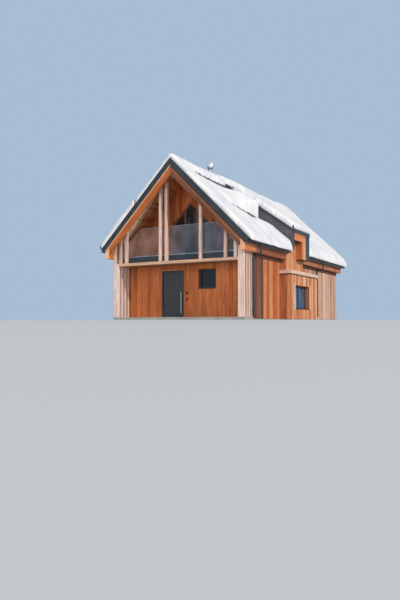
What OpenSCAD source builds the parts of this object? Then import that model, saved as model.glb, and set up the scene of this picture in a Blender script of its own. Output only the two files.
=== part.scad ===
// Alpine chalet: a two-storey timber house with a steep gable roof, a recessed porch and loggia
// behind a screen of posts, a low bay and a wall dormer on its right side. Lengths in millimetres.
// The front faces -Y, the ridge runs along Y, and z = 0 is the level that the house stands on.

/* [Body] */
// Width of the house over its cladding
body_w = 6600; // [6000:50:7600]
// Length of the house from the front posts to the rear wall
body_l = 12600; // [11800:100:15000]
// Thickness of the outer walls
wall_t = 280; // [220:10:340]
// Height of the floor slab above the ground
slab_h = 120; // [60:10:250]
// Height of the wall over the doorway, up to the upper floor
lintel_h = 228; // [160:2:600]
// Thickness of the upper floor
upper_floor_t = 260; // [200:10:320]
// Height of the side walls above the upper floor, at their outer face
knee_h = 600; // [450:10:900]

/* [Porch and loggia] */
// Depth of the porch, from the post face to the entrance wall
porch_d = 900; // [860:10:1200]
// Thickness of the entrance wall
entrance_t = 250; // [180:10:300]
// Depth of the loggia, from the post face to the upper gable wall
loggia_d = 1350; // [1250:10:1800]
// Thickness of the upper gable wall
gable_t = 160; // [120:10:240]
// Number of boards in each side screen
screen_count = 4; // [3:1:5]
// Thickness of one screen board
screen_board_t = 100; // [60:5:120]
// Height of the beam that carries the posts
beam_h = 120; // [90:5:180]
// Depth of the beam that carries the posts
beam_d = 200; // [190:5:260]
// Width of one front post
post_w = 140; // [120:5:180]
// Depth of one front post
post_d = 120; // [80:5:130]
// Distance from the left screen to the middle of the first post
post_inset_a = 100; // [90:5:160]
// Distance from the left screen to the middle of the second post
post_inset_b = 400; // [380:5:500]
// Place of the left post of the middle pair
post_mid_a = -765; // [-820:5:-700]
// Place of the right post of the middle pair
post_mid_b = -460; // [-490:5:-400]
// Place of the single post right of the middle
post_mid_c = 1260; // [1200:5:1500]
// Distance from the right screen to the middle of the last post but one
post_inset_g = 575; // [500:5:640]
// Distance from the right screen to the middle of the last post
post_inset_h = 115; // [100:5:180]
// Height of the barge boards under the verges, measured upright
barge_h = 380; // [300:10:420]
// Thickness of the barge boards
barge_t = 50; // [30:5:60]

/* [Balustrade] */
// Height of the dark upstand on the beam
upstand_h = 260; // [160:10:300]
// Thickness of the dark upstand
upstand_t = 50; // [40:5:55]
// Height of the glass panes above the upstand
balustrade_h = 1260; // [900:10:1300]
// Thickness of the glass panes
balustrade_t = 20; // [12:1:24]
// Joint between two panes
pane_gap = 10; // [6:1:20]

/* [Roof] */
// Pitch of the main roof
roof_pitch = 45; // [42:1:48]
// Thickness of the roof, square to its slope
roof_t = 226; // [180:2:260]
// Thickness of the boarded lining under the roof
lining_t = 25; // [18:1:40]
// Reach of the roof past the side walls
eave_reach = 440; // [400:10:520]
// Reach of the roof past the gable ends
verge_reach = 360; // [250:10:500]
// Thickness of the metal trim on the verges
trim_t = 40; // [20:5:60]
// Reach of the eave boxes past the side walls
eave_box_reach = 200; // [150:10:240]
// Height of the eave boxes on their outer face
eave_box_h = 350; // [280:10:380]
// Radius of the half-round gutters
gutter_r = 50; // [40:5:60]
// Thickness of the gutter metal
gutter_t = 6; // [4:1:10]
// Radius of the downpipes
pipe_r = 42; // [32:1:50]

/* [Bay and dormer] */
// Distance from the front of the house to the bay
bay_y = 3850; // [3500:10:4000]
// Length of the bay along the house
bay_l = 3650; // [3300:10:3900]
// Reach of the bay past the side wall
bay_d = 510; // [460:10:540]
// Height of the underside of the flat bay roof
bay_head_z = 2130; // [2000:10:2180]
// Thickness of the flat bay roof
bay_roof_t = 160; // [120:10:240]
// Reach of the flat bay roof past the front wall of the bay
bay_roof_reach = 60; // [40:5:100]
// Reach of the flat bay roof past the side walls of the bay
bay_roof_side = 120; // [60:10:160]
// Distance from the front of the house to the dormer
dormer_y = 4100; // [4050:10:4200]
// Width of the dormer along the house
dormer_w = 2200; // [2000:10:2400]
// Reach of the dormer wall past the side wall
dormer_d = 200; // [150:10:240]
// Height of the upper edge of the dormer roof above the upper floor
dormer_edge_h = 1500; // [1350:10:1700]
// Reach of the dormer roof past the dormer wall
dormer_reach = 370; // [320:10:420]
// Thickness of the dormer roof, square to its slope
dormer_roof_t = 130; // [100:5:180]
// Thickness of the dormer cheeks
cheek_t = 150; // [100:10:200]
// Height of the boxed hood over the dormer wall, on its outer face
hood_h = 335; // [260:5:380]
// Width of the pier that carries the rear end of the hood
pier_w = 950; // [700:10:1000]
// Height of the foot of the pier above the upper floor
pier_foot_h = 200; // [150:10:300]

/* [Doors and windows] */
// Width of the entrance door leaf
door_w = 1070; // [900:10:1120]
// Height of the entrance door leaf
door_h = 2040; // [1960:10:2060]
// Thickness of the entrance door leaf
door_t = 62; // [50:2:80]
// Running gap round the door leaf
door_gap = 6; // [5:0.5:8]
// Width of the stop on the door frame that the leaf closes against
door_stop_w = 20; // [14:1:30]
// Distance from the middle of the house to the hinge side of the doorway
door_x = 1240; // [1200:10:1300]
// Width of the timber in the door frame and the window frames
frame_w = 40; // [36:2:60]
// Depth of the window frames
frame_d = 80; // [60:5:100]
// Setback of the windows from the wall face
window_setback = 130; // [80:5:150]
// Setback of the bay window from the wall face
bay_win_setback = 190; // [130:5:200]
// Thickness of the window glass
glass_t = 24; // [16:2:36]
// Width of the small windows
small_win_w = 880; // [600:10:1000]
// Height of the small windows
small_win_h = 860; // [600:10:900]
// Rise of the heads of the small windows above the head of the doorway
small_win_rise = 18; // [0:2:60]
// Distance from the middle of the house to the small window beside the door
small_win_x = 670; // [600:10:900]
// Width of the bay window
bay_win_w = 1980; // [1600:10:2200]
// Sill of the bay window above the ground
bay_win_z = 520; // [400:10:700]
// Height of the bay window
bay_win_h = 1105; // [900:5:1300]
// Distance from the front of the house to the bay window
bay_win_y = 4370; // [4200:10:4500]
// Width of the tall windows in the rear wall
rear_win_w = 1200; // [900:10:1500]
// Height of the tall windows in the rear wall
rear_win_h = 1240; // [900:10:1300]
// Half width of the glazed gable window
gable_win_half = 1250; // [900:10:1400]
// Height of the glazed gable window at its middle
gable_win_h = 2580; // [2200:10:2700]

/* [Snow] */
// Thickness of the snow on the roof, square to the slope
snow_t = 130; // [60:10:200]

/* [Hidden] */
$fn = 48;

// Pieces that rest on a slope lie this far from it
seat_gap = 0.3;

// Main planes of the house
side_x = body_w / 2;
inner_x = side_x - wall_t;
front_y = -body_l / 2;
rear_y = body_l / 2;
roof_front_y = front_y - verge_reach;
roof_rear_y = rear_y + verge_reach;

// Doorway and door
leaf_setback = 40;
door_stop_gap = 5;
doorway_w = door_w + 2 * door_gap + 2 * frame_w;
doorway_x0 = -door_x;
doorway_x1 = doorway_x0 + doorway_w;
leaf_x0 = doorway_x0 + frame_w + door_gap;
leaf_z0 = slab_h + door_gap;
doorway_top_z = leaf_z0 + door_h + door_gap + frame_w;
entrance_y = front_y + porch_d;
leaf_y0 = entrance_y + leaf_setback;
leaf_y1 = leaf_y0 + door_t;
hinge_r = 10;
hinge_pin_r = 5;
hinge_fit = 0.3;
hinge_len = 45;
hinge_end = 220;
hinge_plate_w = 45;
hinge_plate_t = 5;
hinge_x = leaf_x0 + hinge_r;
hinge_y = leaf_y1 + hinge_r + 1;
hinge_heights = [leaf_z0 + hinge_end, leaf_z0 + door_h / 2, leaf_z0 + door_h - hinge_end];
pull_r = 16;
pull_len = 950;
pull_z = 300;
pull_standoff = 65;
pull_standoff_r = 9.6;
pull_standoff_inset = 120;
pull_inset = 90;

// Levels of the floors and the roof
storey_z = doorway_top_z + lintel_h;
upper_z = storey_z + upper_floor_t;
beam_top_z = storey_z + beam_h;
wall_top_z = upper_z + knee_h;
small_win_z = doorway_top_z + small_win_rise - small_win_h;

// Main roof: upright heights of its layers and the lines that they follow
roof_v = roof_t / cos(roof_pitch);
lining_v = lining_t / cos(roof_pitch);
snow_v = snow_t / cos(roof_pitch);
slope = tan(roof_pitch);
under_ridge_z = wall_top_z + side_x * slope;
lining_z = under_ridge_z + seat_gap;
roof_under_z = lining_z + lining_v + seat_gap;
ridge_z = roof_under_z + roof_v;
tip_x = side_x + eave_reach;
tip_back = roof_t * sin(roof_pitch);
tip_drop = roof_t * cos(roof_pitch);
function under_z(x) = under_ridge_z - x * slope;
function top_z(x) = ridge_z - x * slope;

// Bay
bay_x = side_x + bay_d;
bay_front_y = front_y + bay_y;
bay_rear_y = bay_front_y + bay_l;
bay_top_z = bay_head_z + bay_roof_t;

// Dormer: its roof springs from the ridge
dormer_edge_z = upper_z + dormer_edge_h;
dormer_front_y = front_y + dormer_y;
dormer_rear_y = dormer_front_y + dormer_w;
dormer_x = side_x + dormer_d;
dormer_edge_x = dormer_x + dormer_reach;
dormer_slope = (ridge_z - dormer_edge_z) / dormer_edge_x;
dormer_pitch = atan(dormer_slope);
dormer_roof_v = dormer_roof_t / cos(dormer_pitch);
function dormer_top_z(x) = ridge_z - x * dormer_slope;
function dormer_under_z(x) = dormer_top_z(x) - dormer_roof_v;
function dormer_seat_z(x) = dormer_under_z(x) - seat_gap;
hood_back = 20;
hood_x = dormer_edge_x - hood_back;
hood_foot_z = dormer_seat_z(hood_x) - hood_h;
pier_foot_z = upper_z + pier_foot_h;

// Snow: its edge lies back from the eaves and swells out over its lower part
snow_back = 30;
snow_bulge = 0.6;
snow_dormer_gap = 20;

// Eave boxes, and gutters whose inner rim hangs on the cut end of the roof
eave_box_x = side_x + eave_box_reach;
eave_box_top_z = top_z(eave_box_x) - roof_v - seat_gap;
eave_box_z = eave_box_top_z - eave_box_h;
gutter_drop = 125;
gutter_flange = 60;
gutter_gap = seat_gap + gutter_t / 2;
gutter_x = tip_x - gutter_drop * sin(roof_pitch) + gutter_gap * cos(roof_pitch) + gutter_r;
gutter_z = top_z(tip_x) - gutter_drop * cos(roof_pitch) - gutter_gap * sin(roof_pitch);

// Downpipes
pipe_gap = 25;
pipe_socket = 5;
pipe_bend_drop = 80;
pipe_run_drop = 130;
pipe_foot_z = slab_h + 40;
pipe_front_inset = 770;
pipe_rear_offset = 1450;
clamp_t = 30;
clamp_foot = 150;
clamp_head = 250;

// Side screens, posts and balustrade
screen_rear_gap = 75;
screen_pitch = (porch_d - screen_rear_gap - screen_board_t) / (screen_count - 1);
post_centres = [
    post_inset_a - inner_x, post_inset_b - inner_x, post_mid_a, post_mid_b, post_mid_c,
    inner_x - post_inset_g, inner_x - post_inset_h
];
pane_joints = [post_mid_b, post_mid_c];
pane_head_drop = 580;
pane_end_gap = 60;
upstand_y = front_y + post_d + 5;

// Left and rear windows
left_win_y = [3200, 6300, 9400];
rear_win_x = [-1600, 1600];
rear_win_z = small_win_z + small_win_h - rear_win_h;
rear_sill_h = 800;
rear_upper_z = upper_z + rear_sill_h;

// Gable window
gable_bar = 70;
gable_mullion_x = 300;
gable_sill_h = 60;
gable_setback = 30;
gable_win_z = upper_z + gable_sill_h;

// Flue
flue_x = -420;
flue_back = 3950;
flue_y = front_y + flue_back;
flue_r = 90;
flue_clear = 15;
flue_rise = 600;
flue_top_z = ridge_z + flue_rise;
cowl_r = 153;
cowl_h = 60;

// Round fixtures beside the door and lamp under the ridge
fixture_r = 55;
fixture_t = 35;
fixture_side = 180;
fixture_z = 910;
fixture_pitch = 280;
lamp_w = 120;
lamp_d = 80;
lamp_h = 70;
lamp_back = 220;
lamp_drop = 410;
lamp_stem_w = 24;
lamp_stem_d = 30;

// A box between two corners
module block(x0, x1, y0, y1, z0, z1) {
    translate([x0, y0, z0]) cube([x1 - x0, y1 - y0, z1 - z0]);
}

// An outline in the XZ plane, run along Y between two stations
module run_y(y0, y1) {
    translate([0, y1, 0]) rotate([90, 0, 0]) linear_extrude(height = y1 - y0) children();
}

// Copies its children onto the left side as well
module both_sides() {
    children();
    mirror([1, 0, 0]) children();
}

// A window frame in a wall that faces along Y, from its outer face
module frame_in_y(x0, w, z0, h, face_y, depth = frame_d) {
    difference() {
        block(x0, x0 + w, face_y, face_y + depth, z0, z0 + h);
        block(x0 + frame_w, x0 + w - frame_w, face_y - 1, face_y + depth + 1, z0 + frame_w, z0 + h - frame_w);
    }
}

// A window frame in a wall that faces along X, from its outer face inwards
module frame_in_x(face_x, inwards, y0, w, z0, h) {
    x0 = min(face_x, face_x + inwards * frame_d);
    difference() {
        block(x0, x0 + frame_d, y0, y0 + w, z0, z0 + h);
        block(x0 - 1, x0 + frame_d + 1, y0 + frame_w, y0 + w - frame_w, z0 + frame_w, z0 + h - frame_w);
    }
}

// The sheet of glass in a window frame of a wall that faces along Y
module glass_in_y(x0, w, z0, h, face_y) {
    y0 = face_y + (frame_d - glass_t) / 2;
    block(x0 + frame_w, x0 + w - frame_w, y0, y0 + glass_t, z0 + frame_w, z0 + h - frame_w);
}

// The sheet of glass in a window frame of a wall that faces along X
module glass_in_x(face_x, inwards, y0, w, z0, h) {
    x0 = face_x + inwards * frame_d / 2 - glass_t / 2;
    block(x0, x0 + glass_t, y0 + frame_w, y0 + w - frame_w, z0 + frame_w, z0 + h - frame_w);
}

// Outline of a side wall, with its head under the roof lining
module side_wall_outline(z0) {
    polygon([[inner_x, z0], [side_x, z0], [side_x, under_z(side_x)], [inner_x, under_z(inner_x)]]);
}

// Outline of one slope of the main roof
module roof_outline() {
    polygon([[0, ridge_z], [tip_x, top_z(tip_x)], [tip_x - tip_back, top_z(tip_x) - tip_drop], [0, roof_under_z]]);
}

// Outline of one slope of the roof lining
module lining_outline() {
    edge_z = under_z(side_x) + seat_gap;
    polygon([[0, lining_z + lining_v], [side_x, edge_z + lining_v], [side_x, edge_z], [0, lining_z]]);
}

// Outline of one slope of the snow on the main roof
module snow_outline() {
    edge_x = tip_x - snow_back;
    edge_z = top_z(edge_x) + seat_gap;
    polygon([
        [0, ridge_z + seat_gap], [edge_x, edge_z],
        [edge_x + snow_t * sin(roof_pitch) * snow_bulge, edge_z + snow_t * cos(roof_pitch) * snow_bulge],
        [edge_x, edge_z + snow_v], [0, ridge_z + seat_gap + snow_v]
    ]);
}

// Outline of an eave box, with its head against the underside of the roof
module eave_box_outline() {
    polygon([
        [side_x, eave_box_z], [eave_box_x, eave_box_z],
        [eave_box_x, eave_box_top_z], [side_x, under_z(side_x) + seat_gap + lining_v]
    ]);
}

// Outline of a half-round gutter with the flange that lies on the cut end of the roof
module gutter_outline() {
    difference() {
        translate([gutter_x, gutter_z]) circle(r = gutter_r);
        translate([gutter_x, gutter_z]) circle(r = gutter_r - gutter_t);
        translate([gutter_x - 2 * gutter_r, gutter_z]) square([4 * gutter_r, 2 * gutter_r]);
    }
    translate([gutter_x - gutter_r, gutter_z]) rotate(-roof_pitch)
        translate([-gutter_t / 2, -gutter_flange]) square([gutter_t, gutter_flange]);
}

// Concrete floor slab under the house, the porch and the bay
module floor_slab() {
    color("silver") linear_extrude(height = slab_h) polygon([
        [-side_x, front_y], [side_x, front_y], [side_x, bay_front_y], [bay_x, bay_front_y],
        [bay_x, bay_rear_y], [side_x, bay_rear_y], [side_x, rear_y], [-side_x, rear_y]
    ]);
}

// Left side wall with its row of small windows
module left_wall() {
    color("peru") difference() {
        mirror([1, 0, 0]) run_y(entrance_y, rear_y - wall_t) side_wall_outline(slab_h);
        for (y = left_win_y)
            block(-side_x - 1, -inner_x + 1, front_y + y, front_y + y + small_win_w,
                  small_win_z, small_win_z + small_win_h);
    }
}

// Right side wall between the porch and the bay
module right_wall_front() {
    color("peru") run_y(entrance_y, bay_front_y) side_wall_outline(slab_h);
}

// Right side wall behind the bay
module right_wall_rear() {
    color("peru") run_y(bay_rear_y, rear_y - wall_t) side_wall_outline(slab_h);
}

// Right side wall above the bay, in front of and behind the dormer
module right_wall_over_bay() {
    color("peru") {
        run_y(bay_front_y, dormer_front_y) side_wall_outline(bay_top_z);
        run_y(dormer_rear_y, bay_rear_y) side_wall_outline(bay_top_z);
    }
}

// Front wall of the bay with its wide window opening
module bay_front_wall() {
    color("peru") difference() {
        block(bay_x - wall_t, bay_x, bay_front_y, bay_rear_y, slab_h, bay_head_z);
        block(bay_x - wall_t - 1, bay_x + 1, front_y + bay_win_y, front_y + bay_win_y + bay_win_w,
              bay_win_z, bay_win_z + bay_win_h);
    }
}

// The two short side walls of the bay
module bay_side_walls() {
    color("peru") {
        block(inner_x, bay_x - wall_t, bay_front_y, bay_front_y + wall_t, slab_h, bay_head_z);
        block(inner_x, bay_x - wall_t, bay_rear_y - wall_t, bay_rear_y, slab_h, bay_head_z);
    }
}

// Flat roof of the bay, which also carries the wall and the dormer above
module bay_roof() {
    edge_x = bay_x + bay_roof_reach;
    color("burlywood") translate([0, 0, bay_head_z]) linear_extrude(height = bay_roof_t) polygon([
        [inner_x, bay_front_y], [side_x, bay_front_y], [side_x, bay_front_y - bay_roof_side],
        [edge_x, bay_front_y - bay_roof_side], [edge_x, bay_rear_y + bay_roof_side],
        [side_x, bay_rear_y + bay_roof_side], [side_x, bay_rear_y], [inner_x, bay_rear_y]
    ]);
}

// Rear gable wall with two windows below and one above
module rear_wall() {
    color("peru") difference() {
        run_y(rear_y - wall_t, rear_y) polygon([
            [-side_x, slab_h], [side_x, slab_h], [side_x, under_z(side_x)],
            [0, under_ridge_z], [-side_x, under_z(side_x)]
        ]);
        for (x = rear_win_x)
            block(x - rear_win_w / 2, x + rear_win_w / 2, rear_y - wall_t - 1, rear_y + 1,
                  rear_win_z, rear_win_z + rear_win_h);
        block(-rear_win_w / 2, rear_win_w / 2, rear_y - wall_t - 1, rear_y + 1,
              rear_upper_z, rear_upper_z + rear_win_h);
    }
}

// Entrance wall on the hinge side of the door
module entrance_wall_left() {
    color("peru") block(-inner_x, doorway_x0, entrance_y, entrance_y + entrance_t, slab_h, storey_z);
}

// Entrance wall on the lock side of the door, with the small window
module entrance_wall_right() {
    color("peru") difference() {
        block(doorway_x1, inner_x, entrance_y, entrance_y + entrance_t, slab_h, storey_z);
        block(small_win_x, small_win_x + small_win_w, entrance_y - 1, entrance_y + entrance_t + 1,
              small_win_z, small_win_z + small_win_h);
    }
}

// Entrance wall over the doorway
module entrance_wall_over() {
    color("peru") block(doorway_x0, doorway_x1, entrance_y, entrance_y + entrance_t, doorway_top_z, storey_z);
}

// Door frame: two jambs and a head with a stop outside the leaf, and the fixed half of each hinge with its pin
module door_frame() {
    jamb_y1 = entrance_y + entrance_t;
    plate_y = hinge_y + hinge_r - 2 - hinge_plate_t;
    stop_in = frame_w + door_stop_w;
    color("dimgray") {
        difference() {
            block(doorway_x0, doorway_x1, entrance_y, jamb_y1, slab_h, doorway_top_z);
            block(doorway_x0 + stop_in, doorway_x1 - stop_in, entrance_y - 1, jamb_y1 + 1,
                  slab_h - 1, doorway_top_z - stop_in);
            block(doorway_x0 + frame_w, doorway_x1 - frame_w, leaf_y0 - door_stop_gap, jamb_y1 + 1,
                  slab_h - 1, doorway_top_z - frame_w);
        }
        for (z = hinge_heights) {
            translate([hinge_x, hinge_y, z - hinge_len]) cylinder(r = hinge_r, h = hinge_len - hinge_fit / 2);
            translate([hinge_x, hinge_y, z - hinge_len]) cylinder(r = hinge_pin_r, h = 2 * hinge_len - 4);
            block(doorway_x0 + frame_w - 1, hinge_x, plate_y, plate_y + hinge_plate_t,
                  z - hinge_len, z - hinge_fit / 2);
        }
    }
}

// Entrance door leaf with the moving half of each hinge
module entrance_door() {
    bore_r = hinge_pin_r + hinge_fit;
    color("darkslategray") difference() {
        union() {
            block(leaf_x0, leaf_x0 + door_w, leaf_y0, leaf_y1, leaf_z0, leaf_z0 + door_h);
            for (z = hinge_heights) {
                translate([hinge_x, hinge_y, z + hinge_fit / 2]) cylinder(r = hinge_r, h = hinge_len);
                block(hinge_x, hinge_x + hinge_plate_w, leaf_y1 - 1, leaf_y1 - 1 + hinge_plate_t,
                      z + hinge_fit / 2, z + hinge_len);
            }
        }
        for (z = hinge_heights)
            translate([hinge_x, hinge_y, z - 1]) cylinder(r = bore_r, h = hinge_len + 3);
    }
}

// Long upright pull bar on two standoffs
module door_pull() {
    bar_x = leaf_x0 + door_w - pull_inset;
    bar_y = leaf_y0 - pull_standoff;
    color("gray") {
        translate([bar_x, bar_y, pull_z]) cylinder(r = pull_r, h = pull_len);
        for (z = [pull_z + pull_standoff_inset, pull_z + pull_len - pull_standoff_inset])
            translate([bar_x, leaf_y0, z]) rotate([90, 0, 0]) cylinder(r = pull_standoff_r, h = pull_standoff);
    }
}

// Frames of the windows at ground level
module ground_windows() {
    color("darkslategray") {
        frame_in_y(small_win_x, small_win_w, small_win_z, small_win_h, entrance_y + window_setback);
        frame_in_x(bay_x - bay_win_setback, -1, front_y + bay_win_y, bay_win_w, bay_win_z, bay_win_h);
        for (y = left_win_y)
            frame_in_x(-side_x + window_setback, 1, front_y + y, small_win_w, small_win_z, small_win_h);
        for (x = rear_win_x)
            frame_in_y(x - rear_win_w / 2, rear_win_w, rear_win_z, rear_win_h, rear_y - window_setback - frame_d);
    }
}

// Glass of the windows at ground level
module ground_window_glass() {
    color("lightblue", 0.4) {
        glass_in_y(small_win_x, small_win_w, small_win_z, small_win_h, entrance_y + window_setback);
        glass_in_x(bay_x - bay_win_setback, -1, front_y + bay_win_y, bay_win_w, bay_win_z, bay_win_h);
        for (y = left_win_y)
            glass_in_x(-side_x + window_setback, 1, front_y + y, small_win_w, small_win_z, small_win_h);
        for (x = rear_win_x)
            glass_in_y(x - rear_win_w / 2, rear_win_w, rear_win_z, rear_win_h, rear_y - window_setback - frame_d);
    }
}

// Upper floor, from the front beam to the rear wall
module upper_floor() {
    color("tan") block(-inner_x, inner_x, front_y + beam_d, rear_y - wall_t, storey_z, upper_z);
}

// Pale beam that closes the edge of the upper floor and carries the posts
module floor_beam() {
    color("burlywood") block(-inner_x, inner_x, front_y, front_y + beam_d, storey_z, beam_top_z);
}

// Dark upstand behind the posts
module balcony_upstand() {
    color("darkslategray")
        block(-inner_x, inner_x, upstand_y, upstand_y + upstand_t, beam_top_z, beam_top_z + upstand_h);
}

// Three glass panes of the balustrade, cut along the roof at both ends
module balcony_glass() {
    z0 = beam_top_z + upstand_h;
    z1 = z0 + balustrade_h;
    y0 = upstand_y + (upstand_t - balustrade_t) / 2;
    head_z = under_ridge_z - pane_head_drop;
    low_x = min(inner_x - pane_end_gap, (head_z - z0) / slope);
    high_x = (head_z - z1) / slope;
    low_z = head_z - low_x * slope;
    color("lightblue", 0.4) {
        run_y(y0, y0 + balustrade_t) polygon([
            [-low_x, z0], [pane_joints[0] - pane_gap / 2, z0], [pane_joints[0] - pane_gap / 2, z1],
            [-high_x, z1], [-low_x, low_z]
        ]);
        block(pane_joints[0] + pane_gap / 2, pane_joints[1] - pane_gap / 2, y0, y0 + balustrade_t, z0, z1);
        run_y(y0, y0 + balustrade_t) polygon([
            [pane_joints[1] + pane_gap / 2, z0], [low_x, z0], [low_x, low_z],
            [high_x, z1], [pane_joints[1] + pane_gap / 2, z1]
        ]);
    }
}

// Posts from the beam up to the roof lining, each with its head cut to the slope
module front_posts() {
    color("wheat") for (x = post_centres) {
        a = x - post_w / 2;
        b = x + post_w / 2;
        run_y(front_y, front_y + post_d)
            polygon([[a, beam_top_z], [b, beam_top_z], [b, under_z(abs(b))], [a, under_z(abs(a))]]);
    }
}

// Boards under the roof lining along the front and rear verges
module barge_boards() {
    x = side_x - seat_gap;
    color("chocolate") for (y0 = [roof_front_y, roof_rear_y - barge_t]) run_y(y0, y0 + barge_t) polygon([
        [-x, under_z(x)], [0, under_ridge_z], [x, under_z(x)],
        [x, under_z(x) - barge_h], [0, under_ridge_z - barge_h], [-x, under_z(x) - barge_h]
    ]);
}

// Boards of one side screen, set one behind the other from the slab up to the roof lining
module screen_boards() {
    for (i = [0 : screen_count - 1])
        run_y(front_y + i * screen_pitch, front_y + i * screen_pitch + screen_board_t)
            side_wall_outline(slab_h);
}

// Left screen: its front board is only as wide as a post above the beam
module left_screen() {
    color("wheat") mirror([1, 0, 0]) difference() {
        screen_boards();
        block(inner_x - 1, side_x - post_w, front_y - 1, front_y + screen_board_t + 1, beam_top_z, under_ridge_z);
    }
}

module right_screen() {
    color("wheat") screen_boards();
}

// Outline of the glazed gable window, drawn in by a margin
module gable_window_outline(margin) {
    half = gable_win_half - margin;
    top = gable_win_z + gable_win_h - margin / cos(roof_pitch);
    polygon([
        [-half, gable_win_z + margin], [half, gable_win_z + margin], [half, top - half * slope],
        [0, top], [-half, top - half * slope]
    ]);
}

// Upper gable wall at the back of the loggia, with its glazed opening
module gable_wall() {
    y0 = front_y + loggia_d;
    color("peru") difference() {
        run_y(y0, y0 + gable_t) polygon([
            [-inner_x, upper_z], [inner_x, upper_z], [inner_x, under_z(inner_x)],
            [0, under_ridge_z], [-inner_x, under_z(inner_x)]
        ]);
        run_y(y0 - 1, y0 + gable_t + 1) gable_window_outline(0);
    }
}

// Strips of the two mullions, taller than the window
module gable_mullions() {
    both_sides() translate([gable_mullion_x - gable_bar / 2, gable_win_z]) square([gable_bar, gable_win_h]);
}

// Frame of the gable window with its two mullions
module gable_window() {
    y0 = front_y + loggia_d + gable_setback;
    color("sienna") run_y(y0, y0 + frame_d) difference() {
        gable_window_outline(0);
        difference() {
            gable_window_outline(gable_bar);
            gable_mullions();
        }
    }
}

// Three panes of the gable window
module gable_glass() {
    y0 = front_y + loggia_d + gable_setback + (frame_d - glass_t) / 2;
    color("lightblue", 0.4) run_y(y0, y0 + glass_t) difference() {
        gable_window_outline(gable_bar);
        gable_mullions();
    }
}

// Left slope of the main roof
module left_roof() {
    color("dimgray") mirror([1, 0, 0]) run_y(roof_front_y, roof_rear_y) roof_outline();
}

// Right slope of the main roof in front of the dormer
module right_roof_front() {
    color("dimgray") run_y(roof_front_y, dormer_front_y) roof_outline();
}

// Right slope of the main roof behind the dormer
module right_roof_rear() {
    color("dimgray") run_y(dormer_rear_y, roof_rear_y) roof_outline();
}

// Boarded lining under the main roof
module roof_lining() {
    color("chocolate") {
        mirror([1, 0, 0]) run_y(roof_front_y, roof_rear_y) lining_outline();
        run_y(roof_front_y, dormer_front_y) lining_outline();
        run_y(dormer_rear_y, roof_rear_y) lining_outline();
    }
}

// Metal trims on the front and rear verges
module verge_trims() {
    color("darkslategray") both_sides() {
        run_y(roof_front_y - trim_t, roof_front_y) roof_outline();
        run_y(roof_rear_y, roof_rear_y + trim_t) roof_outline();
    }
}

// Boxed eaves along both sides, broken at the dormer
module eave_boxes() {
    color("chocolate") {
        mirror([1, 0, 0]) run_y(roof_front_y, roof_rear_y) eave_box_outline();
        run_y(roof_front_y, dormer_front_y) eave_box_outline();
        run_y(dormer_rear_y, roof_rear_y) eave_box_outline();
    }
}

// Half-round gutters along both eaves, broken at the dormer
module gutters() {
    color("darkslategray") {
        mirror([1, 0, 0]) run_y(roof_front_y, roof_rear_y) gutter_outline();
        run_y(roof_front_y, dormer_front_y) gutter_outline();
        run_y(dormer_rear_y, roof_rear_y) gutter_outline();
    }
}

// One downpipe: a short drop from the gutter, a slanted run back to the wall and a long drop to its foot
module downpipe(outlet_y) {
    wall_x = side_x + pipe_gap + pipe_r;
    head_z = gutter_z - gutter_r - seat_gap;
    bend_a = [gutter_x, outlet_y, eave_box_z - pipe_bend_drop];
    bend_b = [wall_x, outlet_y, eave_box_z - pipe_run_drop];
    run = bend_b - bend_a;
    turn = atan2(run[1], run[0]);
    tilt = acos(run[2] / norm(run));
    translate(bend_a) cylinder(r = pipe_r, h = head_z - bend_a[2]);
    translate(bend_a) sphere(r = pipe_r + pipe_socket);
    translate(bend_a) rotate([0, tilt, turn]) cylinder(r = pipe_r, h = norm(run));
    translate(bend_b) sphere(r = pipe_r + pipe_socket);
    translate([bend_b[0], bend_b[1], pipe_foot_z]) cylinder(r = pipe_r, h = bend_b[2] - pipe_foot_z);
    for (z = [pipe_foot_z + clamp_foot, bend_b[2] - clamp_head])
        block(side_x, wall_x, outlet_y - clamp_t / 2, outlet_y + clamp_t / 2, z, z + clamp_t);
}

// Downpipes near the front and near the rear of each side
module downpipes() {
    color("darkslategray") both_sides() {
        downpipe(front_y + pipe_front_inset);
        downpipe(bay_rear_y + pipe_rear_offset);
    }
}

// Outline of a dormer cheek, from the ridge out to the dormer wall and down to the bay roof
module cheek_outline() {
    polygon([
        [0, under_ridge_z], [inner_x, under_z(inner_x)], [inner_x, bay_top_z], [dormer_x, bay_top_z],
        [dormer_x, dormer_seat_z(dormer_x)], [0, dormer_seat_z(0)]
    ]);
}

// Outline of the wing of the front cheek that closes the end of the hood, down to the edge of the main roof
module wing_outline() {
    polygon([
        [dormer_x, top_z(tip_x)], [hood_x, top_z(tip_x)],
        [hood_x, dormer_seat_z(hood_x)], [dormer_x, dormer_seat_z(dormer_x)]
    ]);
}

// Dormer cheeks, the front one with its wing
module dormer_cheeks() {
    color("slategray") {
        run_y(dormer_front_y, dormer_front_y + cheek_t) union() {
            cheek_outline();
            wing_outline();
        }
        run_y(dormer_rear_y - cheek_t, dormer_rear_y) cheek_outline();
    }
}

// Dormer roof, from the ridge to its eave
module dormer_roof() {
    edge_z = dormer_top_z(dormer_edge_x);
    color("dimgray") run_y(dormer_front_y, dormer_rear_y) polygon([
        [0, ridge_z], [dormer_edge_x, edge_z],
        [dormer_edge_x, edge_z - dormer_roof_v], [0, ridge_z - dormer_roof_v]
    ]);
}

// Boarded dormer wall between the cheeks, on the bay roof
module dormer_front() {
    back_x = dormer_x - wall_t;
    color("peru") run_y(dormer_front_y + cheek_t, dormer_rear_y - cheek_t) polygon([
        [back_x, bay_top_z], [dormer_x, bay_top_z],
        [dormer_x, dormer_seat_z(dormer_x)], [back_x, dormer_seat_z(back_x)]
    ]);
}

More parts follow.
